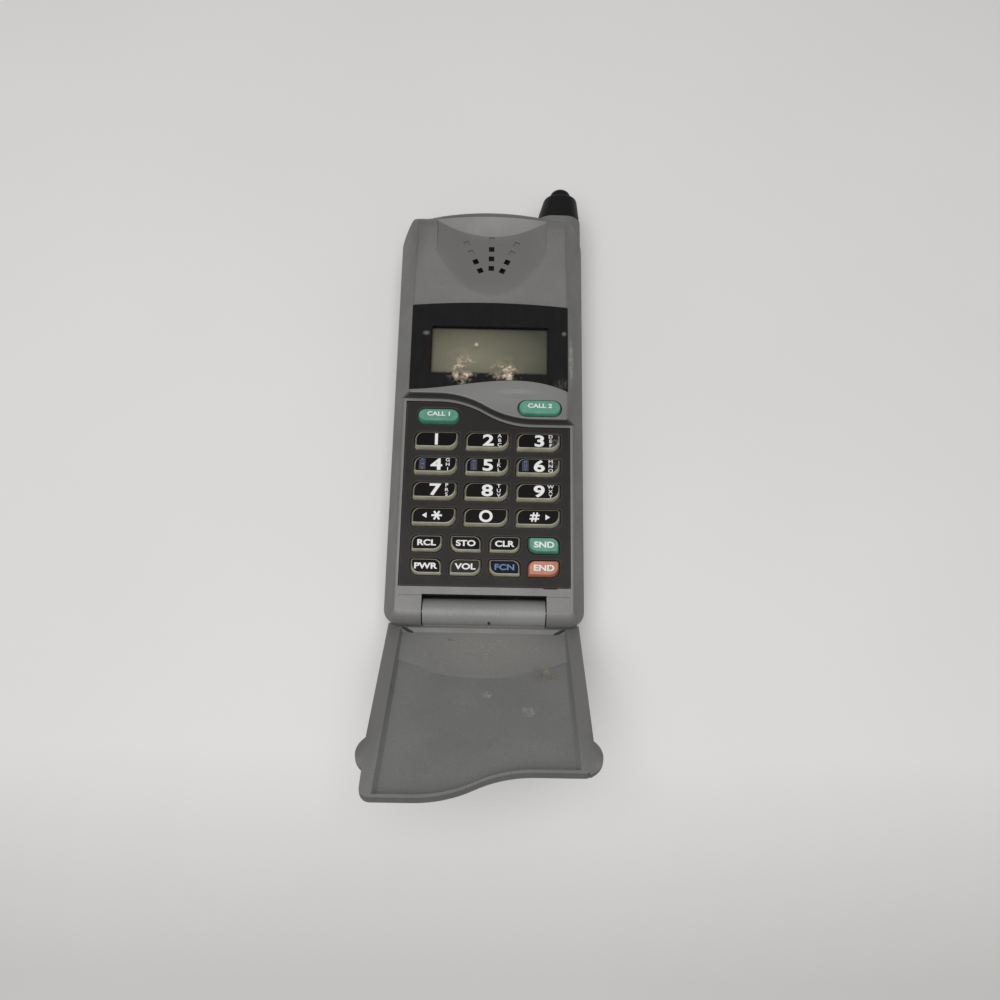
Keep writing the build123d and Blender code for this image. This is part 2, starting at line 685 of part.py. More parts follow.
def rear_housing(blank):
    """The moulded back: battery bay floor, the deeper head behind the earpiece and the end connector's window."""
    shell = blank & block(-reach, reach, -reach, reach, -reach, parting_z)
    half = hollow_half - 0.1
    high_y = crest_y - head_wall
    hollow = block(-half, half, front_end_y + end_wall, high_y, inside_floor_z, parting_z + 1)
    shell -= fillet(hollow.edges().filter_by(Axis.Z).sort_by(Axis.Y)[-2:], radius=inside_radius)
    head_half = back_width / 2 - housing_wall - 1.3
    head = block(-head_half, head_half, head_y + housing_wall, high_y, head_floor_z, inside_floor_z + 1)
    shell -= fillet(head.edges().filter_by(Axis.Z).sort_by(Axis.Y)[-2:], radius=inside_radius - 1)

    # Sound slots under the ringer
    x, y = ringer_place
    for offset in (-3, 0, 3):
        shell -= block(x - 3.5, x + 3.5, y + offset - 0.5, y + offset + 0.5, head_back_z - 1, head_floor_z + 1)

    # Posts under the boards and columns round the screws
    for x in (-board_width / 2 + 3, board_width / 2 - 3):
        for y in (board_low_y + 20, rf_board_high_y - 25):
            shell += post(x, y, board_post_radius, inside_floor_z - 0.5, rf_board_z)
    for x, y in high_screws:
        shell += post(x, y, screw_boss_radius, head_floor_z - 0.5, parting_z)

    # Well round the release button
    button_top_z = head_back_z + 0.2 + button_thickness + latch_travel + latch_gap
    side = button_width / 2 + latch_gap + well_wall
    low, high = button_y[0] - latch_gap - well_wall, button_y[1] + latch_gap + well_wall
    shell += block(-side, side, low, high, head_floor_z - 0.5, button_top_z + well_wall)
    for x, y in [(-low_screw[0], low_screw[1]), low_screw, *high_screws]:
        shell -= post(x, y, screw_radius + 0.15, -1, parting_z + 1)
        shell -= post(x, y, screw_head_radius + 0.15, -1, screw_seat_z + screw_head_height)

    # Slots for the battery's hooks
    for x in (-hook_x, hook_x):
        for y in hook_ys:
            shell -= block(
                x - hook_width / 2 - 0.3, x + hook_width / 2 + 0.3,
                y - hook_stem / 2 - battery_travel - 0.4, y + hook_stem / 2 + 0.3, floor_z - 1, inside_floor_z + 1,
            )

    # Windows for the battery contacts, the latch and the connector
    for index in (-1, 0, 1):
        x = index * contact_pitch
        shell -= block(
            x - contact_width / 2 - 0.3, x + contact_width / 2 + 0.3, contact_y - 2.6, contact_y + 2.6,
            floor_z - 1, inside_floor_z + 1,
        )
    half = latch_width / 2 + latch_gap
    shell -= block(
        -half, half, tooth_y - latch_gap, button_y[0] + 2 + latch_gap, floor_z - 1, inside_floor_z + 1
    )
    shell -= block(-half, half, button_y[0] - latch_gap, button_y[0] + 2 + latch_gap, head_back_z, inside_floor_z)
    half = button_width / 2 + latch_gap
    shell -= block(-half, half, button_y[0] - latch_gap, button_y[1] + latch_gap, head_back_z - 1, button_top_z)
    shell -= connector_space()
    shell -= along_y(aerial_x, aerial_z, stop_radius + aerial_gap, mast_low_y - 1, spigot_low_y)
    return shell


def connector_space():
    """The window in the handset's end that the accessory connector fills."""
    half = connector_width / 2 + piece_gap
    middle = (inside_floor_z + parting_z) / 2
    low_z, high_z = middle - connector_height / 2 - piece_gap, middle + connector_height / 2 + piece_gap
    return block(-half, half, front_end_y - 1, front_end_y + 7.5, low_z, high_z)


def accessory_connector():
    """The plug socket for charger and accessories: an insulator with a slot and a row of contacts."""
    middle = (inside_floor_z + parting_z) / 2
    half, height = connector_width / 2, connector_height / 2
    start = front_end_y + 0.5
    shell = block(-half, half, start, start + connector_depth + 2.2, middle - height, middle + height)
    mouth = block(-half + 0.9, half - 0.9, start - 1, start + 4, middle - height + 0.8, middle + height - 0.8)
    tongue = block(-half + 1.8, half - 1.8, start + 0.4, start + 4.2, middle - 0.25, middle + 0.25)
    return shell - mouth + tongue


# ================================================================ hinge and cover

def opened(shape):
    """Turns a piece of the shut cover to its open place."""
    return shape.rotate(Axis((0, 0, hinge_z), (1, 0, 0)), flip_open)


def near_points(half, shift):
    """The cover's edge at the hinge, left to right: level between the lugs, a tongue under each of them."""
    right = [(half_body - inset, y - shift) for inset, y in flip_tongues[1:]]
    corner = (half, flip_tongues[0][1] - shift)
    level = (barrel_length / 2 + 0.5, flip_near_y - shift)
    chain = [level, *right, corner]
    return [(-x, y) for x, y in reversed(chain)] + chain


def flip_outline():
    """The cover seen from the front: tongues at the hinge, straight sides and the wave."""
    half, end_half = flip_width / 2, flip_end_width / 2
    left_end = step_y - flip_gap
    right_end = left_end - wave_drop
    near = near_points(half, 0)
    left = Polyline((-end_half, left_end), (-half, ear_low_y), near[0])
    right = Polyline((end_half, right_end), (half, ear_low_y), near[-1])
    edges = [*wave_line(-end_half, end_half, left_end), *left.edges(), *right.edges(), *Polyline(*near).edges()]
    face = make_face(edges)
    face = corners_near(face, [(-end_half, left_end)], end_left_radius)
    return corners_near(face, [(end_half, right_end)], end_right_radius)


def cover_stop():
    """The room that the open cover needs in the handset's end, drawn for the shut cover."""
    rim_z, seam_z, outer_z = flip_levels()
    near = near_points(half_body + 2, flip_clear)
    face = make_face(Polyline((-half_body - 2, 20), *near, (half_body + 2, 20), close=True))
    return upright(face, rim_z - flip_clear, outer_z + flip_clear)


def cover_sweep():
    """The room that the cover's edge passes through below the hinge: it leaves the lugs round down to the stop."""
    half = flip_width / 2 + flip_clear
    low_z = hinge_z - deck_end_radius * math.sin(math.radians(flip_open - 90))
    return block(-half, half, front_end_y - 1, -1, low_z, hinge_z) - along_x(deck_end_radius, -half - 1, half + 1)


def flip_levels():
    """Heights of the shut cover: rim, seam between its two mouldings, and outer face."""
    rim = deck_z + flip_lift
    return rim, rim + flip_thickness - flip_cover_thickness, rim + flip_thickness


def cover_blank():
    """Both mouldings of the cover as one plate, rounded along its outer edges."""
    rim_z, seam_z, outer_z = flip_levels()
    plate = upright(flip_outline(), rim_z, outer_z)
    outer = plate.faces().sort_by(Axis.Z)[-1]
    return fillet([edge for edge in outer.edges() if edge.center().Y > ear_low_y / 2 - 5], radius=cover_edge)


def flip_ears():
    """The two finger tabs, a round one on each side."""
    chord = (ear_high_y - ear_low_y) / 2
    radius = (chord ** 2 + ear_reach ** 2) / (2 * ear_reach)
    middle_y = (ear_high_y + ear_low_y) / 2
    low_z = flip_levels()[0] + ear_step
    ears = []
    for side in (-1, 1):
        x = side * ((flip_width + flip_end_width) / 4 + ear_reach - radius)
        disc = post(x, middle_y, radius, low_z, low_z + ear_thickness)
        inner, outer = sorted((side * (flip_end_width / 2 - 1), side * half_body * 2))
        ears.append(disc & block(inner, outer, ear_low_y - 1, ear_high_y + 1, low_z, low_z + ear_thickness))
    return ears


def dish_outline(inset, beyond_arc=False):
    """The dish's outline at some distance in from its mouth; the deeper part starts beyond an arc."""
    end_y = step_y - flip_gap - dish_rim
    half = flip_end_width / 2 - dish_side_rim
    face = under_wave(half - inset, end_y - inset, dish_near_y + inset)
    if beyond_arc:
        radius = (half ** 2 + dish_arc_sag ** 2) / (2 * dish_arc_sag)
        further = inset / dish_slope * arc_slope
        face -= Pos(0, dish_arc_y - radius, 0) * Circle(radius + further - arc_slope / 2)
    return face


def flip_inner_panel():
    """The dished inside of the cover, moulded in one with the hinge barrel between the lugs."""
    rim_z, seam_z, outer_z = flip_levels()
    plate = cover_blank() & block(-reach, reach, -reach, reach, rim_z - 1, seam_z)
    for ear in flip_ears():
        plate += ear
    middle = dish_slope * shelf_depth / dish_depth
    for low_inset, high_inset, low, high, deep in (
        (0, middle, 0, shelf_depth, False), (middle, dish_slope, shelf_depth, dish_depth, True),
    ):
        mouth = Pos(0, 0, rim_z + low) * dish_outline(low_inset, deep)
        floor = Pos(0, 0, rim_z + high) * dish_outline(high_inset, deep)
        plate -= loft([mouth, floor], ruled=True)
    length, width, depth = slit
    for side in (-1, 1):
        cut = Rot(0, 0, -side * slit_turn) * Rectangle(length, width)
        plate -= upright(Pos(side * slit_place[0], slit_place[1], 0) * cut, rim_z - 1, rim_z + depth)

    half = barrel_length / 2
    root = block(-half, half, flip_near_y - 0.15, root_high_y, hinge_z, seam_z)
    barrel = along_x(barrel_radius, -half, half)
    bore = along_x(shaft_radius + shaft_play + bush_wall, -half - 1, half + 1)
    panel = plate + root + barrel - bore
    return opened(panel) - opened_port()


def opened_port():
    """The small sound port where the barrel meets the plate."""
    return block(1.0, 1.9, -barrel_radius - 0.5, -barrel_radius + 0.8, hinge_z - 2.3, hinge_z - 1.0)


def flip_outer_cover():
    """The smooth outside of the cover, with a shallow hollow behind it."""
    rim_z, seam_z, outer_z = flip_levels()
    plate = cover_blank() & block(-reach, reach, -reach, reach, seam_z, outer_z + 1)
    half = flip_end_width / 2 - dish_side_rim
    hollow = block(-half, half, barrel_radius + 2, step_y - flip_gap - wave_drop - 5, seam_z, seam_z + 0.4)
    return opened(plate - hollow)


def hinge_bushes():
    """Two sleeves pressed into the barrel's ends, which turn on the shaft."""
    sleeves = []
    for side in (-1, 1):
        ends = sorted((side * barrel_length / 2, side * (barrel_length / 2 - bush_length)))
        sleeve = along_x(shaft_radius + shaft_play + bush_wall - fixed_play, *ends)
        sleeves.append(sleeve - along_x(shaft_radius + shaft_play, ends[0] - 1, ends[1] + 1))
    return Compound(sleeves)


def hinge_spring():
    """The torsion spring between the bushes: square wire wound round the shaft."""
    wire = 0.4
    turns = 5
    radius = shaft_radius + shaft_play + bush_wall / 2
    length = barrel_length - 2 * bush_length - 12
    path = Helix(pitch=length / turns, height=length, radius=radius)
    profile = Plane(path @ 0, x_dir=(0, 0, 1), z_dir=path % 0) * Rectangle(wire, wire)
    coil = sweep(profile, path=path, is_frenet=True)
    return Pos(-length / 2, 0, hinge_z) * (Rot(0, 90, 0) * coil)


# ================================================================ aerial

def aerial_collar():
    """The black collar on the boss: it narrows to the aerial, with a seat for the knob and a spigot below."""
    base = Plane((boss_x, boss_high_y, aerial_z), x_dir=(1, 0, 0), z_dir=(0, 1, 0))
    top = Plane((aerial_x, collar_high_y, aerial_z), x_dir=(1, 0, 0), z_dir=(0, 1, 0))
    step = 2 * collar_step
    foot = base * RectangleRounded(boss_width - step, boss_depth - step, boss_corner - collar_step)
    cone = loft([foot, top * RectangleRounded(*collar_top, collar_top_corner)], ruled=True)
    cone = fillet(cone.faces().sort_by(Axis.Y)[-1].edges(), radius=collar_edge_radius)
    spigot = along_y(aerial_x, aerial_z, spigot_radius, spigot_low_y, boss_high_y + 1)
    seat = along_y(aerial_x, aerial_z, knob_radius + knob_seat_gap, knob_low_y - knob_seat_gap, collar_high_y + 1)
    way = along_y(
        aerial_x, aerial_z, mast_radius + shaft_play, spigot_low_y - 1, collar_high_y + 1
    )
    return cone + spigot - seat - way


def aerial_knob():
    """The domed knob on the end of the aerial, with a hole for the mast."""
    knob = along_y(aerial_x, aerial_z, knob_radius, knob_low_y, knob_high_y)
    knob = fillet(knob.edges().filter_by(GeomType.CIRCLE).sort_by(Axis.Y)[-1], radius=knob_dome)
    return knob - along_y(aerial_x, aerial_z, mast_radius, knob_low_y - 1, knob_low_y + 3)


def aerial_mast():
    """The straight rod of the aerial, from its stop to the knob."""
    return along_y(aerial_x, aerial_z, mast_radius, mast_low_y + stop_length / 2, knob_low_y + 3)


def aerial_stop():
    """The collar on the rod's lower end that keeps the aerial in the handset."""
    ring = along_y(aerial_x, aerial_z, stop_radius, mast_low_y, mast_low_y + stop_length)
    return ring - along_y(aerial_x, aerial_z, mast_radius, mast_low_y + stop_length / 2, mast_low_y + stop_length + 1)


# ================================================================ display

def display_lens():
    """The clear window over the display."""
    low_z = lens_seat_z + mask_thickness + piece_gap / 2
    return upright(lens_outline(), low_z, low_z + lens_thickness)


def display_mask():
    """The black printed sheet under the lens, open over the viewing area."""
    frame = upright(lens_outline(0.3), lens_seat_z, lens_seat_z + mask_thickness)
    half = view_width / 2
    return frame - block(-half, half, view_low_y, view_low_y + view_height, lens_seat_z - 1, lens_seat_z + 1)


def lcd_levels():
    """Heights in the display stack: glass underside and light guide underside."""
    glass_z = lens_seat_z - 0.3 - lcd_thickness
    return glass_z, glass_z - 0.1 - light_guide_thickness


def lcd_size():
    """Half width, low end and high end of the display glass, inside its frame."""
    well_width, well_low, well_high = display_well
    inset = lcd_frame_wall + 2 * piece_gap
    return well_width / 2 - inset, well_low + inset, well_high - inset


def lcd_glass():
    """The liquid crystal cell: two glass plates bonded face to face."""
    half, low, high = lcd_size()
    glass_z, guide_z = lcd_levels()
    return block(-half, half, low, high, glass_z, glass_z + lcd_thickness)


def lcd_strips():
    """The two elastomer connectors that stand on the logic board and press on the glass's edges."""
    half, low, high = lcd_size()
    glass_z, guide_z = lcd_levels()
    strip_half = board_aerial_x - 2 * piece_gap
    pair = [
        block(-strip_half, strip_half, low + 0.2, low + 0.2 + strip_width, board_top_z, glass_z),
        block(-strip_half, strip_half, high - 0.2 - strip_width, high - 0.2, board_top_z, glass_z),
    ]
    return Compound(pair)


def light_guide():
    """The light guide behind the glass."""
    half, low, high = lcd_size()
    glass_z, guide_z = lcd_levels()
    inset = strip_width + 0.6
    return block(-half + inset, half - inset, low + inset, high - inset, guide_z, guide_z + light_guide_thickness)


def lcd_frame():
    """The moulded frame on the logic board that holds glass, light guide and connectors."""
    half, low, high = lcd_size()
    glass_z, guide_z = lcd_levels()
    wall = lcd_frame_wall + piece_gap
    top_z = glass_z + lcd_thickness
    frame = block(-half - wall, half + wall, low - wall, high + wall, board_top_z, top_z)
    frame -= block(-half - 0.1, half + 0.1, low - 0.1, high + 0.1, glass_z, top_z + 1)
    inset = strip_width + 0.5
    frame -= block(-half + inset, half - inset, low + inset, high - inset, guide_z, top_z)
    step = inset + guide_ledge
    frame -= block(-half + step, half - step, low + step, high - step, board_top_z - 1, top_z)
    aerial_top_z = aerial_z + stop_radius + aerial_gap
    frame -= block(board_aerial_x, half + wall + 1, low - wall - 1, high + wall + 1, board_top_z - 1, aerial_top_z)
    for start, end in ((low + 0.1, low + 0.3 + strip_width), (high - 0.3 - strip_width, high - 0.1)):
        frame -= block(-board_aerial_x + piece_gap, board_aerial_x - piece_gap, start, end, board_top_z - 1, top_z)
    return frame


# ================================================================ boards and small parts

def main_board():
    """The logic board: full width under the keys, cut back beside the aerial."""
    half = board_width / 2
    board = block(-half, half, board_low_y, board_high_y, board_z, board_top_z)
    board -= block(board_aerial_x, half + 1, board_notch_y, board_high_y + 1, board_z - 1, board_top_z + 1)
    notch = mic_radius + 0.3
    board -= block(mic_x - notch, mic_x + notch, board_low_y - 1, board_low_y + 2.6, board_z - 1, board_top_z + 1)
    return board


def rf_board():
    """The radio board on the rear housing's posts."""
    half = board_width / 2 - rf_board_inset
    top_z = rf_board_z + rf_board_thickness
    return block(-half, half, board_low_y + rf_board_inset, rf_board_high_y, rf_board_z, top_z)


def rf_shield():
    """The pressed metal can over the radio parts, which also carries the logic board."""
    half = board_width / 2 - rf_board_inset - can_margin
    low_y, high_y = board_low_y + rf_board_inset + can_margin, rf_board_high_y - can_margin
    low_z = rf_board_z + rf_board_thickness
    right = board_aerial_x - 0.4
    can = block(-half, right, low_y, high_y, low_z, board_z)
    skin = 0.3
    for start, end in ((-half, -2), (-2 + skin, right)):
        can -= block(start + skin, end - skin, low_y + skin, high_y - skin, low_z - 1, board_z - skin)
    return can


def earpiece_speaker():
    """The receiver: a flat can with a round magnet that stands on the logic board."""
    top_z = speaker_well_z - gasket_thickness
    can = post(0, speaker_y, speaker_radius, top_z - speaker_thickness, top_z)
    return can + post(0, speaker_y, magnet_radius, board_top_z, top_z - speaker_thickness)


def earpiece_gasket():
    """The foam ring between the receiver and the front housing."""
    low_z = speaker_well_z - gasket_thickness
    ring = post(0, speaker_y, speaker_radius - 0.1, low_z, speaker_well_z)
    return ring - post(0, speaker_y, speaker_radius - 1.2, low_z - 1, speaker_well_z + 1)


def microphone():
    """The microphone capsule, on its side behind the hinge trough."""
    start = barrel_back_y + trough_wall + 1.0
    return along_y(mic_x, board_top_z - 1.2, mic_radius - 0.7, start, start + 2.6)


def microphone_boot():
    """The rubber boot that holds the capsule and seals it to the sound way."""
    start = barrel_back_y + trough_wall
    boot = along_y(mic_x, board_top_z - 1.2, mic_radius, start, start + 3.6)
    boot -= along_y(mic_x, board_top_z - 1.2, mic_radius - 0.7, start + 1.0, start + 5)
    return boot - along_y(mic_x, board_top_z - 1.2, 0.8, start - 1, start + 2)


def ringer():
    """The sounder in the head's chamber."""
    x, y = ringer_place
    return post(x, y, ringer_radius, head_floor_z, inside_floor_z + 0.6)


def housing_screws():
    """Four screws from the back: two into the hinge lugs, two into the bosses beside the earpiece."""
    head_top_z = screw_seat_z + screw_head_height
    screws = []
    for x, y in [(-low_screw[0], low_screw[1]), low_screw, *high_screws]:
        head = post(x, y, screw_head_radius, head_top_z - screw_head_height, head_top_z)
        shank = post(x, y, screw_radius - fixed_play, head_top_z, parting_z + screw_length - 4.4)
        slot = block(x - 2.5, x + 2.5, y - 0.25, y + 0.25, 0, head_top_z - screw_head_height + 0.5)
        screws.append(head + shank - slot)
    return Compound(screws)


def hinge_shaft():
    """The steel shaft through the cover's barrel, held in both lugs."""
    half = barrel_length / 2 + barrel_end_gap + shaft_bite - 0.1
    return along_x(shaft_radius, -half, half)


# ================================================================ battery and latch

def battery_outline(inset=0.0):
    """The battery seen from the back."""
    length = battery_high_y - battery_low_y - 2 * inset
    middle = (battery_high_y + battery_low_y) / 2
    face = RectangleRounded(battery_width - 2 * inset, length, 2.0)
    half = battery_width / 2 - inset
    low = battery_low_y + inset
    face = Pos(0, middle, 0) * face
    trim = Polygon(
        (-half - 1, low - 1), (-half + battery_corner, low - 1), (-half - 1, low + battery_corner), align=None
    )
    return face - trim - trim.mirror(Plane.YZ)


def catch_pocket(grow):
    """The pocket for the latch's tooth: upright at one end, a ramp at the other."""
    low_z = battery_top_z - tooth_depth - grow / 2
    ramp = (battery_top_z + 1 - low_z) / latch_ramp
    start = tooth_y + tooth_flat + grow
    points = [
        (tooth_y - grow, battery_top_z + 1), (tooth_y - grow, low_z), (start, low_z),
        (start + ramp, battery_top_z + 1),
    ]
    return across(side_profile(points), latch_width + 2 * latch_gap)


def battery_case():
    """The battery's shell, with long edges that lean in to a flat back."""
    top_z = battery_top_z - battery_lid_thickness
    half, flat = battery_width / 2, battery_flat / 2
    section = Polygon(
        (-flat, 0), (flat, 0), (half, battery_edge_z), (half, top_z), (-half, top_z), (-half, battery_edge_z),
        align=None,
    )
    section = corners_near(section, [(-flat, 0), (flat, 0)], battery_edge_round)
    middle = (battery_high_y + battery_low_y) / 2
    bar_up = Pos(0, middle, 0) * extrude(Plane.XZ * section, amount=reach / 2, both=True)
    case = upright(battery_outline(), 0, top_z) & bar_up
    ends = [
        (battery_low_y - 1, -1), (battery_low_y - 1, battery_edge_z), (battery_low_y, battery_edge_z),
        (battery_low_y + battery_edge_z, 0), (battery_low_y + battery_edge_z, -1),
    ]
    case -= across(side_profile(ends), body_width)
    half = battery_flat / 2 - 0.4
    case -= block(
        -half, half, battery_low_y + battery_edge_z, tooth_y - 3 * battery_wall, battery_wall, top_z + 1
    )
    return case - catch_pocket(0.15)


def battery_lid():
    """The battery's inner cover, which carries the four hooks."""
    low_z = battery_top_z - battery_lid_thickness
    lid = upright(battery_outline(), low_z, battery_top_z) - catch_pocket(0.15)
    toe_z = inside_floor_z + 0.15
    for x in (-hook_x, hook_x):
        for y in hook_ys:
            left, right = x - hook_width / 2, x + hook_width / 2
            low, high = y - hook_stem / 2, y + hook_stem / 2
            lid += block(left, right, low, high, battery_top_z - 0.2, toe_z + hook_thickness)
            lid += block(left, right, high - 0.1, high + hook_toe, toe_z, toe_z + hook_thickness)
    for index in (-1, 0, 1):
        x = index * contact_pitch
        lid -= block(
            x - contact_width / 2, x + contact_width / 2, contact_y - 3, contact_y + 3 + battery_travel,
            battery_top_z - 0.5, battery_top_z + 1,
        )
    return lid


def battery_terminals():
    """The three contact strips let into the lid."""
    strips = []
    for index in (-1, 0, 1):
        x = index * contact_pitch
        strips.append(block(
            x - contact_width / 2, x + contact_width / 2, contact_y - 3, contact_y + 3 + battery_travel,
            battery_top_z - 0.5, battery_top_z,
        ))
    return Compound(strips)


def battery_cells():
    """Six flat cells in two rows."""
    top_z = battery_top_z - battery_lid_thickness
    half = battery_flat / 2 - 0.4
    low_y, high_y = battery_low_y + battery_edge_z, tooth_y - 3 * battery_wall
    width, length = 2 * half / 3, (high_y - low_y) / 2
    cells = []
    for column in range(3):
        for row in range(2):
            x, y = -half + column * width, low_y + row * length
            cell = block(
                x + cell_gap / 2, x + width - cell_gap / 2, y + cell_gap / 2, y + length - cell_gap / 2,
                battery_wall, top_z,
            )
            cells.append(chamfer(cell.edges().filter_by(Axis.Y), length=0.8))
    return Compound(cells)


def battery_contacts():
    """The three sprung blades that reach from the radio board to the battery's strips."""
    blades = []
    tip_z = battery_top_z + 0.12
    for index in (-1, 0, 1):
        x = index * contact_pitch
        half = contact_width / 2 - 0.3
        blade = block(x - half, x + half, contact_y + 1.7, contact_y + 2.2, tip_z + 0.4, rf_board_z)
        foot = block(x - half, x + half, contact_y - 1.8, contact_y + 2.2, tip_z, tip_z + 0.4)
        blades.append(blade + foot)
    return Compound(blades)


def battery_latch():
    """The release: a button in the head's back, an arm over the battery's end and a ramped tooth."""
    half = latch_width / 2
    arm_top_z = latch_arm_z + latch_arm
    tooth_low_z = battery_top_z - tooth_depth
    rise = (latch_arm_z - tooth_low_z) / latch_ramp
    points = [
        (tooth_y, arm_top_z), (tooth_y, tooth_low_z), (tooth_y + tooth_flat, tooth_low_z),
        (tooth_y + tooth_flat + rise, latch_arm_z), (button_y[0] + 2, latch_arm_z), (button_y[0] + 2, arm_top_z),
    ]
    arm = across(side_profile(points), latch_width)
    stem = block(-half, half, button_y[0], button_y[0] + 2, head_back_z + 0.5, arm_top_z)
    pad_z = head_back_z + 0.2
    pad = block(-button_width / 2, button_width / 2, button_y[0], button_y[1], pad_z, pad_z + button_thickness)
    pad = chamfer(pad.faces().sort_by(Axis.Z)[0].edges(), length=0.4)
    for y in (button_y[0] + 2.2, button_y[0] + 3.8, button_y[0] + 5.4):
        pad -= block(-button_width / 2 + 1.5, button_width / 2 - 1.5, y, y + 0.7, pad_z - 1, pad_z + 0.4)
    ears = block(
        -half - latch_ear, half + latch_ear, tooth_y + 4.5, tooth_y + 8.5, inside_floor_z + 0.1,
        inside_floor_z + 0.9,
    )
    return arm + stem + pad + ears


def latch_spring():
    """The folded leaf that pushes the latch back, between its ears and the logic board."""
    low_z, high_z = inside_floor_z + 0.9, board_z
    start, end, skin = tooth_y + 4.6, tooth_y + 8.4, 0.25
    middle = (low_z + high_z) / 2
    points = [
        (start, low_z), (end, low_z), (end, low_z + skin), (start + 0.9, middle), (end, high_z - skin),
        (end, high_z), (start, high_z), (start, high_z - skin), (end - 0.9, high_z - skin),
        (start, middle), (end - 0.9, low_z + skin), (start, low_z + skin),
    ]
    return across(side_profile(points), latch_width - 1)


# ================================================================ export

row_shift = Pos(0, -(battery_low_y + battery_high_y) / 2, 0)


def save(name, shape):
    """Writes one sub-part in the row frame."""
    export_step(row_shift * shape, f"parts/{name}.step")


os.makedirs("parts", exist_ok=True)
whole = handset_blank()
save("front_housing", front_housing(whole))
save("rear_housing", rear_housing(whole))
save("keypad_bezel", keypad_bezel())
save("keypad_mat", keypad_mat())
save("keypad_contact_pads", contact_pads())
save("display_lens", display_lens())
save("display_mask", display_mask())
save("lcd_glass", lcd_glass())
save("lcd_frame", lcd_frame())
save("lcd_light_guide", light_guide())
save("lcd_connector_strips", lcd_strips())
save("main_board", main_board())
save("rf_board", rf_board())
save("rf_shield_can", rf_shield())
save("earpiece_speaker", earpiece_speaker())
save("earpiece_gasket", earpiece_gasket())
save("microphone", microphone())
save("microphone_boot", microphone_boot())
save("ringer", ringer())
save("accessory_connector", accessory_connector())
save("battery_contacts", battery_contacts())
save("housing_screws", housing_screws())
save("hinge_shaft", hinge_shaft())
save("latch_spring", latch_spring())
save("antenna_collar", aerial_collar())
save("antenna_mast", aerial_mast())
save("antenna_knob", aerial_knob())
save("antenna_stop", aerial_stop())
save("flip_inner_panel", flip_inner_panel())
save("flip_outer_cover", flip_outer_cover())
save("hinge_bushes", opened(hinge_bushes()))
save("hinge_spring", opened(hinge_spring()))
save("battery_case", battery_case())
save("battery_lid", battery_lid())
save("battery_cells", battery_cells())
save("battery_terminals", battery_terminals())
save("battery_latch", battery_latch())
for key_name, key_place, key_size, key_form in key_layout():
    save(f"key_{key_name}", key_solid(key_name, key_place, key_size, key_form))
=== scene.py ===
import bpy
import bmesh
import math
from mathutils import Matrix, Vector


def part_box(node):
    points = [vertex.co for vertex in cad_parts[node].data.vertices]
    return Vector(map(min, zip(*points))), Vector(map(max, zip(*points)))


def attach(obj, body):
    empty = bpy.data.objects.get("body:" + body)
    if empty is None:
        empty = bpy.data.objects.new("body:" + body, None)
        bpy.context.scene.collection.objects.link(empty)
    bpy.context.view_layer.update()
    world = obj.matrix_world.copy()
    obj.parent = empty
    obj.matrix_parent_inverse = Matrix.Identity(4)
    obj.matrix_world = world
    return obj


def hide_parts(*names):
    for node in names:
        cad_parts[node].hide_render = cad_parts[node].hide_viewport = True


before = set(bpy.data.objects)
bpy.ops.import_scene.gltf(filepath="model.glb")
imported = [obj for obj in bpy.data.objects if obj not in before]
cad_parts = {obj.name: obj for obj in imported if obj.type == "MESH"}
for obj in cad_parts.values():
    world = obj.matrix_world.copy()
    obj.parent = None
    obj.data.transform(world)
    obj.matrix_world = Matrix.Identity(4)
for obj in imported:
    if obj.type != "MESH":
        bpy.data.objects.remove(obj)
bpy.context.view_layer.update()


# ---------------------------------------------------------------- moulded housings
# Front and rear shells, injection moulded in a warm mid-grey plastic with a fine
# spark-eroded texture. The texture glitters a little and is polished along the
# edges, where hands and pockets have rubbed it.

mm = 0.001


def new_material(name):
    """An empty node material with its shader, its tree and a coordinate socket fixed to the piece."""
    material = bpy.data.materials.new(name)
    material.use_nodes = True
    tree = material.node_tree
    shader = tree.nodes["Principled BSDF"]
    place = tree.nodes.new("ShaderNodeTexCoord").outputs["Object"]
    return material, tree, shader, place


def noise(tree, place, scale, detail=3.0, roughness=0.5, stretch=None):
    """A noise pattern with features of about 1/scale metres; returns its factor socket."""
    if stretch:
        mapping = tree.nodes.new("ShaderNodeMapping")
        mapping.inputs["Scale"].default_value = stretch
        tree.links.new(place, mapping.inputs["Vector"])
        place = mapping.outputs["Vector"]
    node = tree.nodes.new("ShaderNodeTexNoise")
    node.inputs["Scale"].default_value = scale
    node.inputs["Detail"].default_value = detail
    node.inputs["Roughness"].default_value = roughness
    tree.links.new(place, node.inputs["Vector"])
    return node.outputs["Fac"]


def ramp(tree, factor, stops):
    """A colour ramp from (position, colour) stops; colours may be single grey levels."""
    node = tree.nodes.new("ShaderNodeValToRGB")
    band = node.color_ramp
    while len(band.elements) < len(stops):
        band.elements.new(0.5)
    for element, (position, colour) in zip(band.elements, stops):
        element.position = position
        element.color = (*colour, 1.0) if isinstance(colour, tuple) else (colour, colour, colour, 1.0)
    tree.links.new(factor, node.inputs["Fac"])
    return node.outputs["Color"]


def mix(tree, factor, first, second, blend="MIX"):
    """Mixes two colours by a socket or a number."""
    node = tree.nodes.new("ShaderNodeMix")
    node.data_type = "RGBA"
    node.blend_type = blend
    for socket, value in ((node.inputs["Factor"], factor), (node.inputs[6], first), (node.inputs[7], second)):
        if isinstance(value, bpy.types.NodeSocket):
            tree.links.new(value, socket)
        elif isinstance(value, tuple):
            socket.default_value = (*value, 1.0)
        else:
            socket.default_value = value
    return node.outputs[2]


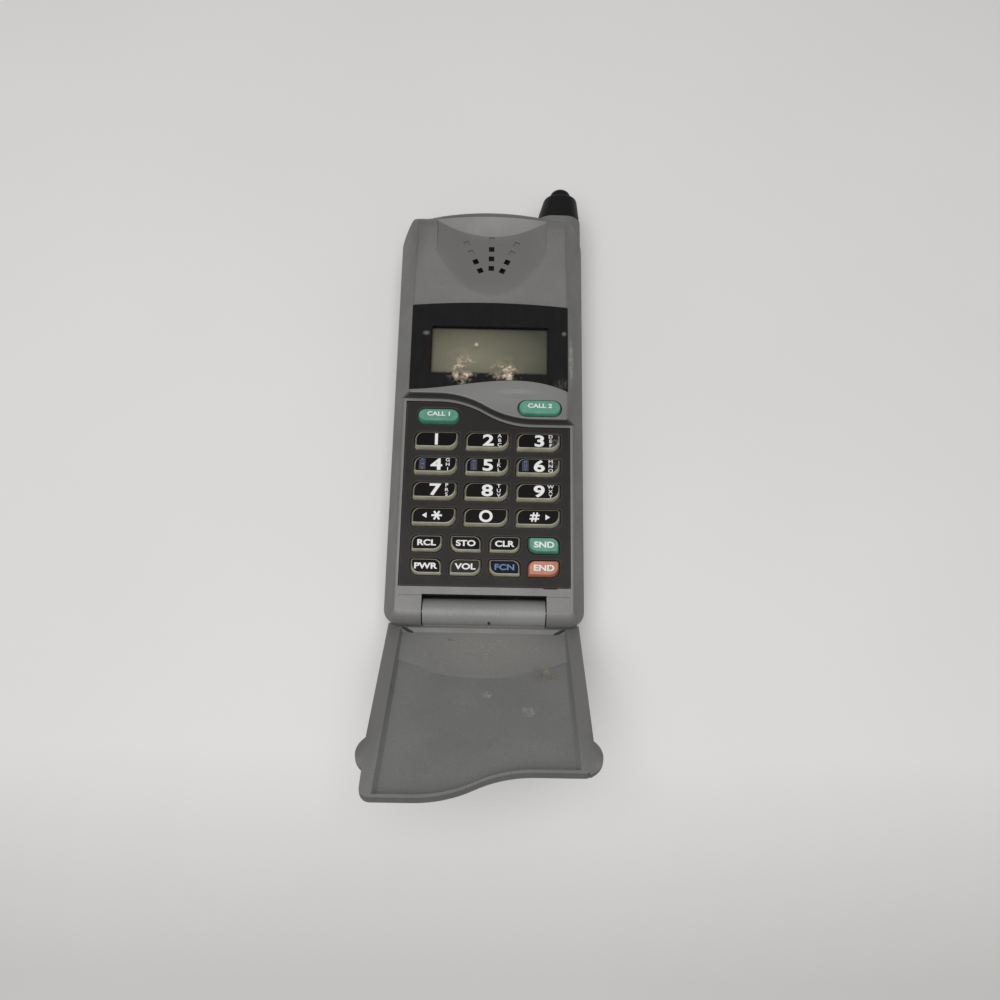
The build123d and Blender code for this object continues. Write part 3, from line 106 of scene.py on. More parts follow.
def bump(tree, height, strength, distance, under=None):
    """Bumps the surface by a height pattern; returns the normal socket."""
    node = tree.nodes.new("ShaderNodeBump")
    node.inputs["Strength"].default_value = strength
    node.inputs["Distance"].default_value = distance
    tree.links.new(height, node.inputs["Height"])
    if under:
        tree.links.new(under, node.inputs["Normal"])
    return node.outputs["Normal"]


def calc(tree, operation, first, second=0.0, clamp=False):
    """One step of arithmetic between sockets or numbers."""
    node = tree.nodes.new("ShaderNodeMath")
    node.operation = operation
    node.use_clamp = clamp
    for socket, value in ((node.inputs[0], first), (node.inputs[1], second)):
        if isinstance(value, bpy.types.NodeSocket):
            tree.links.new(value, socket)
        else:
            socket.default_value = value
    return node.outputs[0]


def blot(tree, place, middle, reach, softness):
    """A soft spot about a point, 1 in its middle and 0 past its reach; measures in mm."""
    mapping = tree.nodes.new("ShaderNodeMapping")
    mapping.vector_type = "TEXTURE"
    mapping.inputs["Location"].default_value = tuple(value * mm for value in middle)
    mapping.inputs["Scale"].default_value = tuple(value * mm for value in reach)
    tree.links.new(place, mapping.inputs["Vector"])
    length = tree.nodes.new("ShaderNodeVectorMath")
    length.operation = "LENGTH"
    tree.links.new(mapping.outputs["Vector"], length.inputs[0])
    return calc(tree, "DIVIDE", calc(tree, "SUBTRACT", 1.0, length.outputs["Value"]), softness, True)


def shaded(tree, colour):
    """Darkens or lightens a colour by the piece's own shade attribute, which is 0 where nothing is set."""
    attribute = tree.nodes.new("ShaderNodeAttribute")
    attribute.attribute_name = "shade"
    return mix(tree, 1.0, colour, calc(tree, "ADD", attribute.outputs["Fac"], 1.0), "MULTIPLY")


def moulded_plastic(
    name, colour, roughness, grain=2600.0, grain_depth=0.35, glitter=0.5, variation=0.08, specular=0.5
):
    """Injection-moulded plastic: fine eroded grain, faint clouding, glitter and smudged gloss."""
    material, tree, shader, place = new_material(name)
    shader.inputs["Specular IOR Level"].default_value = specular
    dark = tuple(value * (1 - variation) for value in colour)
    light = tuple(min(1.0, value * (1 + variation)) for value in colour)
    cloud = noise(tree, place, 60.0, 5.0, 0.55)
    base = ramp(tree, cloud, [(0.3, dark), (0.7, light)])
    fine = noise(tree, place, grain, 2.0, 0.6)
    flecks = ramp(tree, fine, [(0.30, 0.84), (0.5, 1.0), (0.64, 1.0), (0.76, 1.0 + glitter)])
    base = mix(tree, 1.0, base, flecks, "MULTIPLY")
    tree.links.new(shaded(tree, base), shader.inputs["Base Color"])
    smudge = noise(tree, place, 140.0, 4.0, 0.6)
    gloss = ramp(tree, smudge, [(0.25, max(0.0, roughness - 0.07)), (0.75, min(1.0, roughness + 0.07))])
    tree.links.new(gloss, shader.inputs["Roughness"])
    tree.links.new(bump(tree, fine, grain_depth, 0.04 * mm), shader.inputs["Normal"])
    return material


def inside(material):
    """The tree and the coordinate socket of a finish made before."""
    tree = material.node_tree
    return tree, tree.nodes["Texture Coordinate"].outputs["Object"]


def dress(names, material):
    """Gives a material to CAD nodes that keep their own shapes."""
    for name in names:
        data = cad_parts[name].data
        data.materials.clear()
        data.materials.append(material)


def smooth_copy(node, name, body, material, angle=32.0, crisp=None, rule=None, trim=None):
    """A merged and smoothly shaded copy of a moulding, which stands for it.

    A trim changes the shape first; a rule gives each face's shade from its middle in mm and its normal.
    """
    shape = bmesh.new()
    shape.from_mesh(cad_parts[node].data)
    same_spot, flat = 0.001 * mm, math.radians(0.3)
    bmesh.ops.remove_doubles(shape, verts=shape.verts, dist=same_spot)
    bmesh.ops.dissolve_limit(shape, angle_limit=flat, verts=shape.verts, edges=shape.edges)
    shape.normal_update()
    if trim:
        trim(shape)
        shape.normal_update()
    if rule:
        layer = shape.faces.layers.float.new("shade")
        for face in shape.faces:
            face[layer] = rule(face.calc_center_bounds() / mm, face.normal)
    return finished(shape, name, body, material, angle, node, crisp)


def finished(shape, name, body, material, angle=32.0, stands_for=None, crisp=None):
    """Turns a shape into a piece on a body, smooth over edges below an angle.

    Crisp is a low corner, a high corner and the smaller angle that holds between them.
    """
    for edge in shape.edges:
        limit = angle
        if crisp:
            middle = (edge.verts[0].co + edge.verts[1].co) / 2
            if all(low <= value <= high for low, value, high in zip(crisp[0], middle, crisp[1])):
                limit = crisp[2]
        edge.smooth = len(edge.link_faces) == 2 and edge.calc_face_angle(0.0) < math.radians(limit)
    for face in shape.faces:
        face.smooth = True
    data = bpy.data.meshes.new(name)
    shape.to_mesh(data)
    shape.free()
    data.materials.append(material)
    piece = bpy.data.objects.new(name, data)
    bpy.context.scene.collection.objects.link(piece)
    normals = piece.modifiers.new("normals", "WEIGHTED_NORMAL")
    normals.keep_sharp = True
    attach(piece, body)
    if stands_for:
        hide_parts(stands_for)
    return piece


def overlaid(material, mask, colour, gloss=None):
    """Lays a colour, and a gloss if one is given, over a finish where a mask is 1."""
    tree = material.node_tree
    shader = tree.nodes["Principled BSDF"]
    base, rough = shader.inputs["Base Color"], shader.inputs["Roughness"]
    tree.links.new(mix(tree, mask, base.links[0].from_socket, shaded(tree, colour)), base)
    if gloss is not None:
        tree.links.new(mix(tree, mask, rough.links[0].from_socket, (gloss, gloss, gloss)), rough)


def stain_and_light(material, middle, reach, softness, strength, colour, gloss=None, within=1.0):
    """Lays a soft-edged mark over a finish, for stains and for painted light and shade, broken up by a second
    mask if one is given; places in mm.
    """
    tree, place = inside(material)
    mark = calc(tree, "MULTIPLY", blot(tree, place, middle, reach, softness), within)
    overlaid(material, calc(tree, "MULTIPLY", mark, strength), colour, gloss)


housing_plastic = moulded_plastic("housing_grey", (0.147, 0.1445, 0.139), 0.46, glitter=0.3)
for middle, reach, softness, strength, colour in (
    ((-23.5, 68.0, 26.0), (4.5, 12.0, 8.0), 1.0, 0.80, (0.086, 0.085, 0.083)),  # shade on the left shoulder
    ((0.0, 66.0, 24.0), (18.5, 18.5, 9.0), 0.3, 0.90, (0.131, 0.129, 0.125)),  # painted shade in the ear scoop
    ((0.0, 75.0, 27.0), (15.0, 7.5, 7.0), 1.0, 0.75, (0.235, 0.222, 0.210)),  # painted highlight on the scoop's far wall and the head's crest
    ((6.0, 17.0, 26.4), (26.0, 7.0, 4.0), 1.0, 1.00, (0.190, 0.189, 0.183)),  # painted light below the display
):
    stain_and_light(housing_plastic, middle, reach, softness, strength, colour)

tree, place = inside(housing_plastic)
scuffed = ramp(tree, noise(tree, place, 900.0, 4.0, 0.7), [(0.38, 0.0), (0.60, 1.0)])
edge_middle, edge_reach = (25.0, 29.0, 25.0), (1.5, 9.5, 3.4)
bare_grey, rubbed_gloss = (0.42, 0.42, 0.39), 0.30
stain_and_light(housing_plastic, edge_middle, edge_reach, 0.45, 0.85, bare_grey, rubbed_gloss, scuffed)

sink_depth = -0.16 * mm
sink_mark = blot(tree, place, (8.7, 17.3, 26.4), (7.0, 1.5, 3.0), 1.0)
normal_socket = tree.nodes["Principled BSDF"].inputs["Normal"]
tree.links.new(bump(tree, sink_mark, 1.0, sink_depth, normal_socket.links[0].from_socket), normal_socket)


def tone_by_place(spot, facing, rules):
    """The tone of the first rule whose box holds a spot and whose test fits the facing.

    A rule is a tone, the low and the high corner of its box in mm, where sideways is the distance from the
    middle plane, and a test of the facing or None.
    """
    from_middle = (abs(spot.x), spot.y, spot.z)
    for tone, low, high, fits in rules:
        in_box = all(least < value < most for least, value, most in zip(low, from_middle, high))
        if in_box and (fits is None or fits(facing)):
            return tone
    return 0.0


open_end = 999.0  # no limit on that side, in mm
below, beyond = (-1.0, -open_end, -open_end), (open_end, open_end, open_end)
scoop_half, scoop_near, scoop_far = 16.8, 48.0, 79.0
scoop_low, scoop_high = (-1.0, scoop_near, 18.0), (scoop_half, scoop_far, open_end)
front_tones = (
    (-0.93, scoop_low, (14.0, 72.0, open_end), lambda facing: abs(facing.z) < 0.3),  # painted shade in the ear holes, which are deep
    (0.0, scoop_low, scoop_high, lambda facing: abs(facing.z) < 0.3),  # the head's end above the scoop
    (-0.05, scoop_low, scoop_high, lambda facing: facing.y < -0.2),  # painted shade on the far end of the scoop
    (-0.33, (-1.0, 74.0, 18.0), scoop_high, lambda facing: facing.y > 0.3),  # painted shade on the crest of the head
    (0.0, scoop_low, scoop_high, None),  # floor of the scoop
    (0.90, (scoop_half, scoop_near, 20.0), (17.1, scoop_far, open_end), None),  # painted light on the sides of the scoop
    (-0.72, (-1.0, -50.0, 13.0), (17.7, -41.0, 20.0), None),  # painted shade in the hinge trough
    (-0.68, (-1.0, 8.0, 20.0), (open_end, 28.0, 26.3), lambda facing: facing.y < -0.3),  # painted shade on the wall of the step
    (0.20, (-1.0, -open_end, 21.9), (open_end, open_end, 22.1), lambda facing: facing.z > 0.95),  # painted light on the deck
    (-0.17, (-1.0, -open_end, 12.0), beyond, lambda facing: abs(facing.x) > 0.75),  # painted shade on the flanks
)


def front_shade(middle, normal):
    """Painted shade in the ear holes, the hinge trough, on the step's wall, the scoop's far end, the crest
    and the flanks, and painted light on the scoop's sides and the deck.
    """
    return tone_by_place(middle, normal, front_tones)


def eased(shape, edges, width, steps, clamp=False):
    """Rounds edges off by a width, in so many steps."""
    bmesh.ops.bevel(
        shape, geom=edges, offset=width, offset_type="OFFSET", segments=steps, profile=0.5, affect="EDGES",
        material=-1, clamp_overlap=clamp,
    )


def softened_scoop(shape):
    """Rounds the near outline of the ear scoop, which the face runs into softly."""
    rounding, least, most = 0.6 * mm, math.radians(6), math.radians(20)
    outline = []
    for edge in shape.edges:
        middle = (edge.verts[0].co + edge.verts[1].co) / 2 / mm
        near_scoop = abs(middle.x) < 17.4 and scoop_near < middle.y < 73 and middle.z > 20
        if near_scoop and len(edge.link_faces) == 2 and edge.is_convex:
            level = min(abs(face.normal.z) for face in edge.link_faces) > 0.8
            if level and least < edge.calc_face_angle(0.0) < most:
                outline.append(edge)
    eased(shape, outline, rounding, 4)


ear_scoop = ((-0.0172, 0.0484, 0.0200), (0.0172, 0.0750, 0.0278), 5.0)
smooth_copy(
    "front_housing", "front_shell", "handset", housing_plastic, crisp=ear_scoop, rule=front_shade,
    trim=softened_scoop,
)
smooth_copy("rear_housing", "rear_shell", "handset", housing_plastic)


# ---------------------------------------------------------------- keypad bezel
# A thin plate of charcoal plastic with a coarser texture, dropped into the deck
# and held by the ledge round its openings.

bezel_plastic = moulded_plastic(
    "bezel_charcoal", (0.0150, 0.0130, 0.0120), 0.5, grain=2200.0, grain_depth=0.5, glitter=0.9,
    variation=0.15, specular=0.20,
)
plate_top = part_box("keypad_bezel")[1][2]
rim_width, rim_dirt_and_highlight = 0.35 * mm, 3.6


def worn_rims(shape):
    """Breaks the plate's upper edges, round its border and round every opening."""
    on_top = plate_top - 0.01 * mm
    rims = []
    for edge in shape.edges:
        if len(edge.link_faces) == 2 and all(vertex.co.z > on_top for vertex in edge.verts):
            if min(abs(face.normal.z) for face in edge.link_faces) < 0.3:
                rims.append(edge)
    eased(shape, rims, rim_width, 1)


def rim_shade(middle, normal):
    """Lightens the broken edges: pale dirt and wear, with a painted highlight."""
    return rim_dirt_and_highlight if 0.3 < normal.z < 0.95 else 0.0


smooth_copy("keypad_bezel", "bezel_plate", "handset", bezel_plastic, rule=rim_shade, trim=worn_rims)


# ---------------------------------------------------------------- number and function keys
# Silicone keys cast in a smoky translucent beige. Each has a straight skirt in the
# bezel's opening, a flank that leans in more at its lower side, and a glossy black
# printed top through which the figures show white.

def rubber(name, colour, roughness=0.42, glow=0.25):
    """Translucent silicone: coloured, slightly cloudy, with a soft sheen."""
    material, tree, shader, place = new_material(name)
    cloud = noise(tree, place, 420.0, 3.0, 0.6)
    deep = tuple(value * 0.72 for value in colour)
    tree.links.new(shaded(tree, ramp(tree, cloud, [(0.3, deep), (0.7, colour)])), shader.inputs["Base Color"])
    dust = noise(tree, place, 1900.0, 2.0, 0.7)
    gloss = ramp(tree, dust, [(0.35, roughness - 0.08), (0.7, roughness + 0.14)])
    tree.links.new(gloss, shader.inputs["Roughness"])
    shader.inputs["Specular IOR Level"].default_value = 0.35
    shader.inputs["Subsurface Weight"].default_value = glow
    shader.inputs["Subsurface Radius"].default_value = (1.2 * mm, 1.0 * mm, 0.6 * mm)
    shader.inputs["Subsurface Scale"].default_value = 1.0
    tree.links.new(bump(tree, dust, 0.15, 0.02 * mm), shader.inputs["Normal"])
    return material


def gloss_print(name, colour, roughness=0.3):
    """Printed lacquer with a few fine scuffs and a little dust in it."""
    material, tree, shader, place = new_material(name)
    dust = noise(tree, place, 2400.0, 2.0, 0.5)
    speck = ramp(tree, dust, [(0.72, 0.0), (0.78, 1.0)])
    pale = tuple(min(1.0, value + 0.05) for value in colour)
    tree.links.new(mix(tree, speck, colour, pale), shader.inputs["Base Color"])
    scuff = noise(tree, place, 900.0, 5.0, 0.7, (1.0, 3.0, 1.0))
    gloss = ramp(tree, scuff, [(0.4, roughness), (0.75, roughness + 0.15)])
    tree.links.new(gloss, shader.inputs["Roughness"])
    shader.inputs["Specular IOR Level"].default_value = 0.05
    return material


key_edge_angle = 50.0
same_corner = 0.00001  # in mm, as keys are built in mm and scaled at the end


def key_outline(shape, width, height, radii, mirrored, place):
    """A leaf-shaped face; radii are those of its first corner, the opposite one and the other two."""
    turn = -1 if mirrored else 1
    spots = [(-turn, 1), (turn, 1), (turn, -1), (-turn, -1)]
    corners = [
        shape.verts.new((place[0] + sx * width / 2, place[1] + sy * height / 2, place[2])) for sx, sy in spots
    ]
    shape.faces.new(corners if mirrored else reversed(corners))
    first, opposite, other = radii
    rounded = ((corners[0], first), (corners[2], opposite), (corners[1], other), (corners[3], other))
    for corner, radius in rounded:
        bmesh.ops.bevel(
            shape, geom=[corner], offset=radius, offset_type="OFFSET", segments=7, profile=0.5,
            affect="VERTICES", material=-1, clamp_overlap=False,
        )
    shape.faces.ensure_lookup_table()
    return shape.faces[-1]


def raised(shape, face, rise, spread=(1.0, 1.0), shift=(0.0, 0.0)):
    """Pulls a face up, scales it about its middle and shifts it; returns the new top face."""
    middle = face.calc_center_bounds()
    grown = bmesh.ops.extrude_face_region(shape, geom=[face])["geom"]
    top = [item for item in grown if isinstance(item, bmesh.types.BMFace)][0]
    if face.is_valid:
        shape.faces.remove(face)
    for vertex in top.verts:
        vertex.co.x = middle.x + (vertex.co.x - middle.x) * spread[0] + shift[0]
        vertex.co.y = middle.y + (vertex.co.y - middle.y) * spread[1] + shift[1]
        vertex.co.z += rise
    return top


def key_body(place, size, top_size, levels, radii, mirrored, shift, painted_shade=0.0):
    """A key's skirt and leaning flank, closed below, with a rounded rim.

    Levels are foot, deck and top; shift moves the top off the skirt's middle; the last argument is a painted
    shade laid on all faces but those of the near side.
    """
    shape = bmesh.new()
    foot_z, deck_z, top_z = levels
    face = key_outline(shape, *size, radii, mirrored, (*place, foot_z))
    bmesh.ops.duplicate(shape, geom=[face])
    top = raised(shape, face, deck_z - foot_z)
    rounding = ((0.12, 0.05, 0.0), (0.10, 0.16, 0.0), (0.06, 0.36, 0.0))
    flank_rise = top_z - deck_z - sum(rise for rise, trim, move in rounding)
    width, height = size
    for rise, trim, move in ((flank_rise, 0.0, shift), *rounding):
        wider, higher = top_size[0] - trim, top_size[1] - trim
        top = raised(shape, top, rise, (wider / width, higher / height), (0.0, move))
        width, height = wider, higher
    bmesh.ops.remove_doubles(shape, verts=shape.verts, dist=same_corner)
    bmesh.ops.recalc_face_normals(shape, faces=shape.faces)
    layer = shape.faces.layers.float.new("shade")
    for face in shape.faces:
        face[layer] = 0.0 if face.normal.y < -0.3 else painted_shade
    bmesh.ops.scale(shape, vec=(mm, mm, mm), verts=shape.verts)
    return shape


def key_top(place, size, top_z, radii, mirrored):
    """The printed top of a key: a thin leaf with a soft edge."""
    sunk, edge_rise, rounding = 0.05, 0.06, ((0.03, 0.1), (0.02, 0.35))
    shape = bmesh.new()
    face = key_outline(shape, *size, radii, mirrored, (*place, top_z - sunk))
    bmesh.ops.duplicate(shape, geom=[face])
    width, height = size
    top = raised(shape, face, edge_rise)
    for rise, trim in rounding:
        top = raised(shape, top, rise, ((size[0] - trim) / width, (size[1] - trim) / height))
        width, height = size[0] - trim, size[1] - trim
    bmesh.ops.remove_doubles(shape, verts=shape.verts, dist=same_corner)
    bmesh.ops.recalc_face_normals(shape, faces=shape.faces)
    bmesh.ops.scale(shape, vec=(mm, mm, mm), verts=shape.verts)
    return shape


def strokes(name, bars, spot, size, weight, material, body):
    """A sign made of straight bars of one weight between points of a unit box; all measures in mm."""
    overlap_step = 0.004
    shape = bmesh.new()
    for layer, bar in enumerate(bars):
        start, end = (Vector(((x - 0.5) * size[0], (y - 0.5) * size[1])) for x, y in bar)
        along = (end - start).normalized()
        side = Vector((-along.y, along.x)) * weight / 2
        corners = (start + side, start - side, end - side, end + side)
        shape.faces.new([shape.verts.new((*corner, overlap_step * layer)) for corner in corners])
    return printed(shape, name, spot, material, body)


def patch(name, corners, spot, material, body):
    """A flat printed patch with straight sides between corners, in mm from its spot."""
    shape = bmesh.new()
    shape.faces.new([shape.verts.new((x, y, 0.0)) for x, y in corners])
    return printed(shape, name, spot, material, body)


def printed(shape, name, spot, material, body):
    """Gives flat faces the thickness of a coat of ink and sets them down at a spot."""
    ink_coat = 0.012
    shape.normal_update()
    bmesh.ops.solidify(shape, geom=shape.faces, thickness=ink_coat)
    bmesh.ops.recalc_face_normals(shape, faces=shape.faces)
    bmesh.ops.translate(shape, vec=spot, verts=shape.verts)
    bmesh.ops.scale(shape, vec=(mm, mm, mm), verts=shape.verts)
    return finished(shape, name, body, material)


def legend(name, words, size, spot, material, body, wide=1.0, bold=0.0, gap=1.0, turned=False):
    """Flat printed words on a key; spot is their middle in mm, and turned words are upside down."""
    half_coat = 0.006
    writing = bpy.data.curves.new(name, "FONT")
    writing.body = words
    writing.size = size
    writing.offset = bold
    writing.extrude = half_coat
    writing.align_x = "CENTER"
    writing.align_y = "CENTER"
    writing.space_line = gap
    holder = bpy.data.objects.new(name, writing)
    bpy.context.scene.collection.objects.link(holder)
    bpy.context.view_layer.update()
    data = bpy.data.meshes.new_from_object(holder.evaluated_get(bpy.context.evaluated_depsgraph_get()))
    bpy.data.objects.remove(holder)
    data.name = name
    corners = [vertex.co.copy() for vertex in data.vertices]
    middle_x, middle_y = (
        (min(co[axis] for co in corners) + max(co[axis] for co in corners)) / 2 for axis in (0, 1)
    )
    move = Matrix.Scale(mm, 4) @ Matrix.Translation(spot) @ Matrix.Diagonal((wide, 1.0, 1.0, 1.0))
    if turned:
        move = move @ Matrix.Rotation(math.pi, 4, "Z")
    data.transform(move @ Matrix.Translation((-middle_x, -middle_y, 0.0)))
    data.materials.clear()
    data.materials.append(material)
    piece = bpy.data.objects.new(name, data)
    bpy.context.scene.collection.objects.link(piece)
    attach(piece, body)
    return piece


def print_ink(name, colour):
    """Printed ink, a little uneven where it has worn."""
    material, tree, shader, place = new_material(name)
    wear = noise(tree, place, 2600.0, 3.0, 0.6)
    faded = tuple(value * 0.8 for value in colour)
    tree.links.new(ramp(tree, wear, [(0.35, faded), (0.6, colour)]), shader.inputs["Base Color"])
    shader.inputs["Roughness"].default_value = 0.45
    return material


def box_middle(node):
    """Middle of a node seen from above, and its top, in mm."""
    low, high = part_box(node)
    return (low[0] + high[0]) / 2 / mm, (low[1] + high[1]) / 2 / mm, high[2] / mm


smoky_rubber = rubber("key_rubber_beige", (0.527, 0.508, 0.376))
black_top = gloss_print("key_top_black", (0.0055, 0.0050, 0.0050))
worn_top = gloss_print("key_top_worn", (0.026, 0.025, 0.021))
navy_top = gloss_print("key_top_navy", (0.0035, 0.0065, 0.0160))
tree, place = inside(black_top)
greasy = ramp(tree, noise(tree, place, 1300.0, 4.0, 0.7), [(0.42, 0.0), (0.62, 1.0)])
for node in ("key_3", "key_6"):
    low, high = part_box(node)
    right_end = (high[0] / mm - 2.2, (low[1] + high[1]) / 2 / mm - 0.2, high[2] / mm)
    stain_and_light(black_top, right_end, (2.3, 2.2, 2.0), 0.8, 0.55, (0.22, 0.21, 0.19), within=greasy)
white_ink = print_ink("ink_white", (0.80, 0.80, 0.78))
blue_ink = print_ink("ink_blue", (0.080, 0.150, 0.300))
navy_ink = print_ink("ink_navy", (0.008, 0.013, 0.040))
deck_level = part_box("keypad_bezel")[1][2] / mm
flange_level = deck_level - 1.75
# painted shade on all but the near side of each key's skirt
flank_painted_shade = -0.4

number_skirt, number_flank, number_face = (12.85, 5.15), (12.1, 4.4), (11.7, 4.0)
number_radii, number_face_radii = (2.3, 2.9, 0.7), (2.1, 2.65, 0.42)
flank_shift, face_shift = 0.08, 0.1
ink_rise, field_rise, aside_rise = 0.068, 0.064, 0.084
figure_size, figure_bold, figure_wide = 4.7, 0.13, 1.42
letter_size, letters_x, aside_size, aside_x, field_x = 1.42, 3.55, 1.12, -3.8, -3.85
odd_figures = {"0": ("O", 1.04), "1": ("1", 1.2), "9": ("6", figure_wide)}  # 9 is a 6 upside down
star_bars = (((-0.02, 0.5), (1.02, 0.5)), ((0.24, 0.08), (0.76, 0.92)), ((0.24, 0.92), (0.76, 0.08)))
hash_bars = (
    ((0.24, 0), (0.46, 1)), ((0.60, 0), (0.82, 1)), ((0.0, 0.31), (1.0, 0.31)), ((0.06, 0.69), (1.06, 0.69)),
)
signs = {
    # bars, place along the key, size and weight; the arrow's corners and its place along the key
    "star": (star_bars, 0.9, 2.9, 0.55, ((-0.72, 0.0), (0.62, -0.82), (0.62, 0.82)), -2.6),
    "hash": (hash_bars, -1.1, 2.7, 0.48, ((0.72, 0.0), (-0.62, 0.82), (-0.62, -0.82)), 2.7),
}
field_corners = ((-0.95, -1.65), (0.95, -1.65), (0.95, 1.65), (-0.35, 1.65), (-0.95, 1.2))
for digit, letters, aside in (
    ("1", "", ""), ("2", "ABC", ""), ("3", "DEF", ""), ("4", "GHI", "TMR"), ("5", "JKL", "ALT"),
    ("6", "MNO", "MUT"), ("7", "PRS", ""), ("8", "TUV", ""), ("9", "WXY", ""), ("0", "", ""),
    ("star", "", ""), ("hash", "", ""),
):
    node = "key_" + digit
    x, y, top = box_middle(node)
    levels = (flange_level, deck_level, top)
    finished(
        key_body((x, y), number_skirt, number_flank, levels, number_radii, False, flank_shift, flank_painted_shade),
        node + "_skirt", node, smoky_rubber, key_edge_angle, node,
    )
    y += face_shift
    finished(
        key_top((x, y), number_face, top, number_face_radii, False), node + "_top", node,
        black_top, key_edge_angle,
    )
    level = top + ink_rise
    if digit in signs:
        bars, sign_x, size, weight, arrow, arrow_x = signs[digit]
        spot = (x + sign_x, y, level)
        strokes(node + "_figure", bars, spot, (size, size), weight, white_ink, node)
        patch(node + "_arrow", arrow, (x + arrow_x, y, level), white_ink, node)
    else:
        shown, wide = odd_figures.get(digit, (digit, figure_wide))
        spot = (x if digit in "10" else x + 0.25, y, level)
        legend(
            node + "_figure", shown, figure_size, spot, white_ink, node, wide=wide,
            bold=figure_bold, turned=digit == "9",
        )
    if letters:
        legend(
            node + "_letters", "\n".join(letters), letter_size, (x + letters_x, y, level), white_ink, node,
            wide=1.25, bold=0.02, gap=0.97,
        )
    if aside:
        field_spot, aside_spot = (x + field_x, y, top + field_rise), (x + aside_x, y, top + aside_rise)
        patch(node + "_field", field_corners, field_spot, navy_ink, node)
        legend(
            node + "_function", "\n".join(aside), aside_size, aside_spot, blue_ink, node,
            wide=1.15, gap=1.08,
        )

function_skirt, function_flank, function_face = (8.85, 4.5), (8.3, 4.0), (7.85, 3.55)
function_radii, function_face_radii, function_shift = (2.0, 2.4, 0.6), (1.8, 2.15, 0.38), 0.15
function_letter_size = 2.3
for node, words, ink, top_finish, mirrored in (
    ("key_rcl", "RCL", white_ink, black_top, False), ("key_sto", "STO", white_ink, black_top, True),
    ("key_clr", "CLR", white_ink, black_top, False), ("key_pwr", "PWR", white_ink, black_top, True),
    ("key_vol", "VOL", white_ink, worn_top, False), ("key_fcn", "FCN", blue_ink, navy_top, True),
):
    x, y, top = box_middle(node)
    levels = (flange_level, deck_level, top)
    finished(
        key_body(
            (x, y), function_skirt, function_flank, levels, function_radii, mirrored, function_shift,
            flank_painted_shade,
        ),
        node + "_skirt", node, smoky_rubber, key_edge_angle, node,
    )
    y += function_shift
    finished(
        key_top((x, y), function_face, top, function_face_radii, mirrored), node + "_top", node,
        top_finish, key_edge_angle,
    )
    legend(
        node + "_words", words, function_letter_size, (x, y, top + ink_rise), ink, node,
        wide=1.3, bold=0.075,
    )


# ---------------------------------------------------------------- coloured keys
# SND and the two call keys are cast in teal silicone and END in salmon, without
# a printed top; their words are printed white.

teal_rubber = rubber("key_rubber_teal", (0.105, 0.320, 0.230), roughness=0.40, glow=0.35)
salmon_rubber = rubber("key_rubber_salmon", (0.560, 0.215, 0.135), roughness=0.40, glow=0.35)
pale_ink = print_ink("ink_pale", (0.72, 0.76, 0.74))
on_rubber = 0.001
coloured_flank, coloured_letter_size = (8.1, 3.85), 2.35

for node, words, mirrored, material, slot in (
    ("key_snd", "SND", True, teal_rubber, "key_teal"), ("key_end", "END", False, salmon_rubber, "key_salmon"),
):
    x, y, top = box_middle(node)
    levels = (flange_level, deck_level, top)
    finished(
        key_body((x, y), function_skirt, coloured_flank, levels, function_radii, mirrored, function_shift),
        node + "_cap", node, material, key_edge_angle, node,
    )
    spot = (x + 0.1, y + function_shift, top + on_rubber)
    legend(node + "_words", words, coloured_letter_size, spot, pale_ink, node, wide=1.25, bold=0.08)

call_skirt, call_radii, call_letter_size = (12.55, 4.65), (2.28, 2.28, 2.28), 1.75
face_key_foot, face_key_deck = 4.0, 1.2  # below the top of the key that stands in the face
for node, words, y, flank, shift in (
    ("key_call_1", "CALL 1", 11.5, (11.6, 3.6), -0.05), ("key_call_2", "CALL 2", 12.85, (11.8, 4.0), 0.1),
):
    x, _, top = box_middle(node)
    levels = (flange_level, deck_level, top) if node == "key_call_1" else (
        top - face_key_foot, top - face_key_deck, top
    )
    finished(
        key_body((x, y), call_skirt, flank, levels, call_radii, False, shift),
        node + "_cap", node, teal_rubber, key_edge_angle, node,
    )
    spot = (x, y + shift + 0.35, top + on_rubber)
    legend(node + "_words", words, call_letter_size, spot, pale_ink, node, wide=1.3, bold=0.06)


# ---------------------------------------------------------------- keypad mat and contacts
# A silicone sheet seals the deck under the keys; 22 gold-plated pads on the logic
# board close when a key's carbon post is pressed on them.

def metal(name, colour, roughness):
    """Plated or rolled metal with fine scratches."""
    material, tree, shader, place = new_material(name)
    shader.inputs["Metallic"].default_value = 1.0
    tone = noise(tree, place, 240.0, 4.0, 0.6)
    dull = tuple(value * 0.8 for value in colour)
    tree.links.new(ramp(tree, tone, [(0.3, dull), (0.7, colour)]), shader.inputs["Base Color"])
    scratch = noise(tree, place, 3000.0, 2.0, 0.6, (1.0, 0.08, 1.0))
    gloss = ramp(tree, scratch, [(0.3, roughness - 0.08), (0.7, roughness + 0.1)])
    tree.links.new(gloss, shader.inputs["Roughness"])
    return material


gold = metal("contact_gold", (0.75, 0.52, 0.20), 0.3)
dress(["keypad_mat"], rubber("mat_rubber", (0.16, 0.16, 0.15)))
dress(["keypad_contact_pads"], gold)


# ---------------------------------------------------------------- display
# A clear acrylic window, printed black on its back except over the glass, sits
# in a seat in the face. Under it lie the liquid crystal cell in its moulded
# frame, the light guide and two zebra-striped rubber connectors.

mask_black = moulded_plastic(
    "mask_black", (0.010, 0.010, 0.011), 0.5, grain=3000.0, grain_depth=0.1, glitter=0.1
)
dress(["display_mask"], mask_black)

